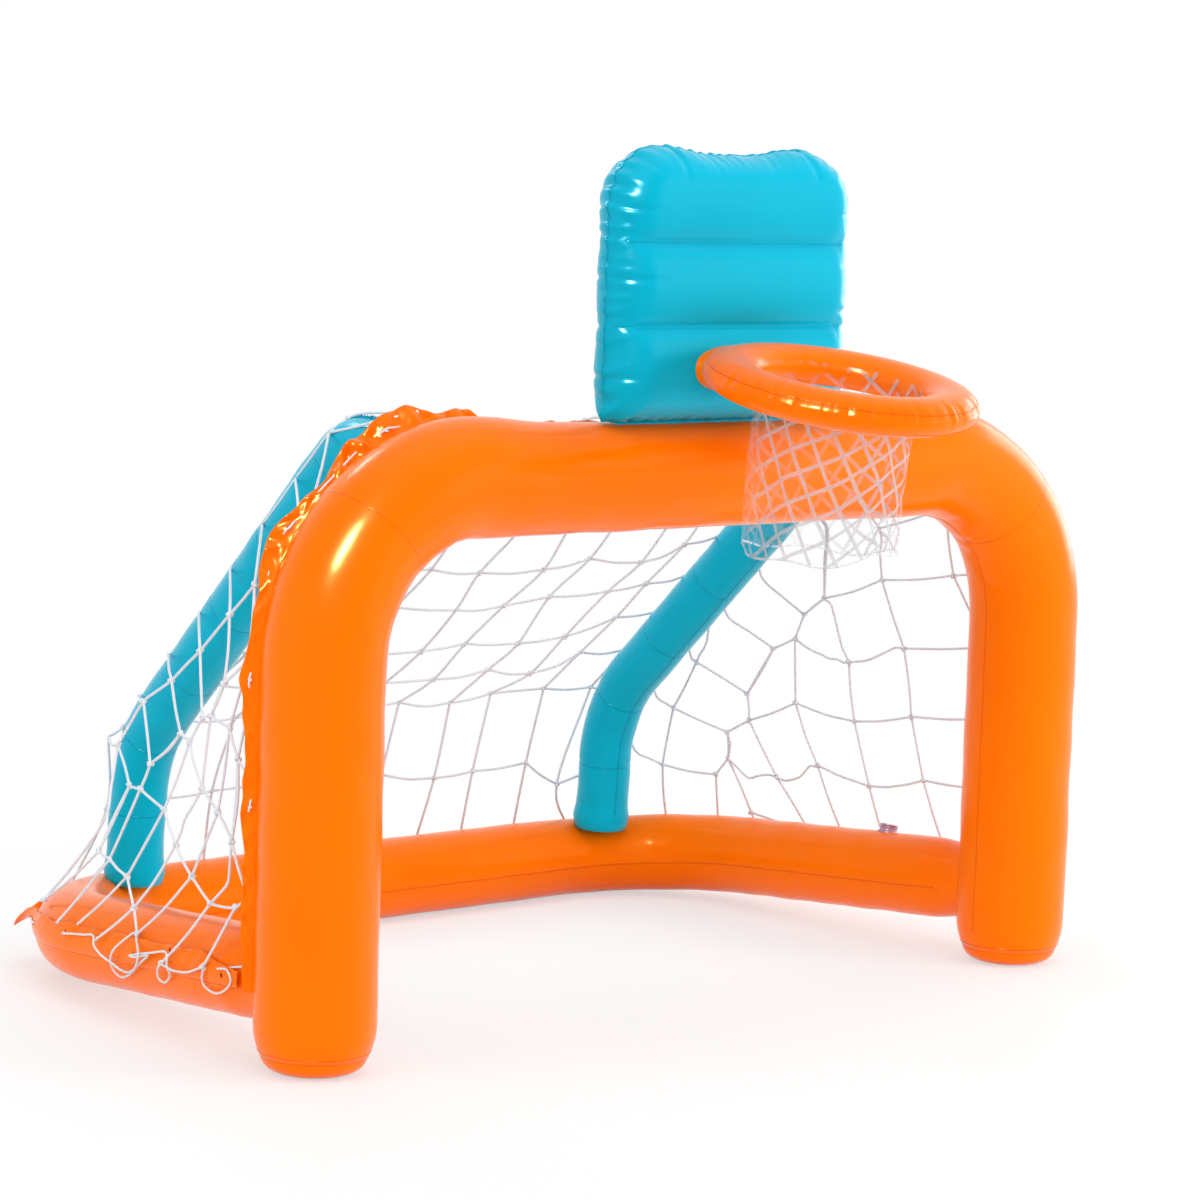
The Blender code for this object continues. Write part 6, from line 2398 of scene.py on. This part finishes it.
@dataclass
class Studio:
    """The floor, the plain white surround, the soft lamps and the camera."""

    eye: tuple[float, float, float] = (-3.718, -4.2174, 1.206)
    turn: float = math.radians(41.25)
    pitch: float = math.radians(6.50)
    roll: float = math.radians(1.862)
    lens: float = 117.86
    floor_r: float = 14.0
    floor_z: float = -0.0006
    shadow_fade: tuple[float, float] = (0.9, 1.7)
    ambient: float = 0.52

    def camera(self) -> None:
        """Adds the camera at the photograph's place."""
        ahead = Vector((math.sin(self.turn) * math.cos(self.pitch), math.cos(self.turn) * math.cos(self.pitch),
                        -math.sin(self.pitch)))
        right = Vector((math.cos(self.turn), -math.sin(self.turn), 0))
        up = right.cross(ahead)
        level = right * math.cos(self.roll) + up * math.sin(self.roll)
        rise = up * math.cos(self.roll) - right * math.sin(self.roll)
        data = bpy.data.cameras.new("camera")
        data.sensor_width = 36
        data.lens = self.lens
        obj = link("camera", data)
        obj.matrix_world = Matrix.Translation(self.eye) @ Matrix((level, rise, -ahead)).transposed().to_4x4()
        bpy.context.scene.camera = obj

    @staticmethod
    def seen(tree: bpy.types.NodeTree) -> bpy.types.NodeSocket:
        """Tells what is looked at from what gives light.

        Args:
            tree: The material's or the world's tree.

        Returns:
            1 for rays from the camera, a mirror image or clear film, and 0 for light on the object.
        """
        path = add_node(tree, "LightPath")
        first = add_node(tree, "Math", {"operation": "MAXIMUM"}, {
            0: path.outputs["Is Camera Ray"], 1: path.outputs["Is Glossy Ray"]})
        return add_node(tree, "Math", {"operation": "MAXIMUM"}, {
            0: first.outputs[0], 1: path.outputs["Is Transmission Ray"]}).outputs[0]

    def world(self) -> None:
        """Lights the scene evenly, and shows white behind it."""
        world = bpy.data.worlds.new("studio")
        world.use_nodes = True
        tree = world.node_tree
        back = tree.nodes["Background"]
        back.inputs["Color"].default_value = (1, 1, 1, 1)
        strength = add_node(tree, "Mix", {"data_type": "FLOAT"}, {0: self.seen(tree), 2: self.ambient, 3: 1.0})
        tree.links.new(strength.outputs[0], back.inputs["Strength"])
        bpy.context.scene.world = world

    def floor(self) -> None:
        """Adds a pale floor that takes soft shadows near the object and fades to white."""
        obj = primitive(bpy.ops.mesh.primitive_circle_add, "floor", vertices=64, radius=self.floor_r,
                        fill_type="NGON", location=(0, 0, self.floor_z))
        material, tree, shader = new_material("painted_studio_floor")
        shader.inputs["Base Color"].default_value = linear("#F4F4F4")
        shader.inputs["Roughness"].default_value = 0.55
        shader.inputs["Specular IOR Level"].default_value = 0.2
        place = add_node(tree, "TexCoord").outputs["Object"]
        reach = add_node(tree, "VectorMath", {"operation": "LENGTH"}, {0: place})
        fade = add_node(tree, "MapRange", {"interpolation_type": "SMOOTHSTEP"}, {
            0: reach.outputs["Value"], 1: self.shadow_fade[0], 2: self.shadow_fade[1], 3: 0.55, 4: 1.0})
        share = add_node(tree, "Math", {"operation": "MULTIPLY"}, {0: fade.outputs[0], 1: self.seen(tree)})
        glow = add_node(tree, "Emission", None, {"Color": (1, 1, 1, 1), "Strength": 1.0})
        mix = add_node(tree, "MixShader", None, {0: share.outputs[0], 1: shader.outputs[0], 2: glow.outputs[0]})
        tree.links.new(mix.outputs[0], tree.nodes["Material Output"].inputs["Surface"])
        obj.data.materials.append(material)

    def lamp(self, name: str, place: tuple[float, float, float], size: tuple[float, float], glow: float,
             aim: tuple[float, float, float] = (0, 0, 0.5), along: tuple[float, float, float] = (0, 0, 1),
             mirrored: bool = True, lights: bool = True) -> None:
        """Adds a soft rectangular lamp.

        Args:
            name: Its name.
            place: Where it stands.
            size: Its width and its length.
            glow: How bright its face is, in watts from a square metre.
            aim: The point that it faces.
            along: The direction nearest to which its length runs.
            mirrored: False if the film doesn't mirror it.
            lights: False if only its mirror image counts.
        """
        data = bpy.data.lights.new(name, "AREA")
        data.shape = "RECTANGLE"
        data.size, data.size_y = size
        data.energy = glow * size[0] * size[1]
        back = (Vector(place) - Vector(aim)).normalized()
        wide = Vector(along).cross(back).normalized()
        turn = Matrix((wide, back.cross(wide), back)).transposed().to_4x4()
        obj = link(name, data)
        obj.matrix_world = Matrix.Translation(place) @ turn
        obj.visible_glossy = mirrored
        obj.visible_diffuse = lights

    def build(self) -> None:
        """Adds the camera, the floor, the surround and the lamps."""
        bpy.context.scene.view_settings.view_transform = "Standard"
        self.camera()
        self.world()
        self.floor()
        corner = (-0.67, -0.25, 0.70)
        self.lamp("key_strip", (-2.32, -1.75, 2.71), (0.16, 0.95), 4600, corner, (0.80, -0.15, 0.58), lights=False)
        self.lamp("camera_fill", (-3.2, -4.4, 2.6), (2.2, 2.2), 7, mirrored=False)
        self.lamp("front_softbox", (2.5, -3.3, 1.5), (2.4, 2.2), 17, mirrored=False)
        self.lamp("left_softbox", (-3.6, 0.3, 1.2), (2.2, 1.8), 7, mirrored=False)
        self.lamp("top_softbox", (-0.2, -0.4, 3.6), (2.6, 2.2), 7, mirrored=False)
        self.lamp("right_softbox", (3.5, 0.2, 1.4), (1.8, 1.8), 9)
        self.lamp("rear_softbox", (0.4, 3.6, 2.2), (2.2, 1.4), 10, mirrored=False)
        self.lamp("hoop_glint", (-0.3, 1.6, 2.2), (0.4, 0.25), 45, (0, -0.35, 0.92), lights=False)


def main() -> None:
    """Builds the goal, the floor, the lamps and the camera."""
    logging.basicConfig(level=logging.INFO, format="%(message)s")
    palette = Palette()
    Studio().build()
    FrontArch().build(palette)
    BaseTube().build(palette)
    for side in Side:
        Strut(side).build(palette)
    Backboard().build(palette)
    Hoop().build(palette)
    arch_film, base_film = build_films(palette)
    Nets(arch_film, base_film).build(palette)
    Lacing().build(palette, arch_film, base_film)
    build_valves(palette)


if __name__ == "__main__":
    main()
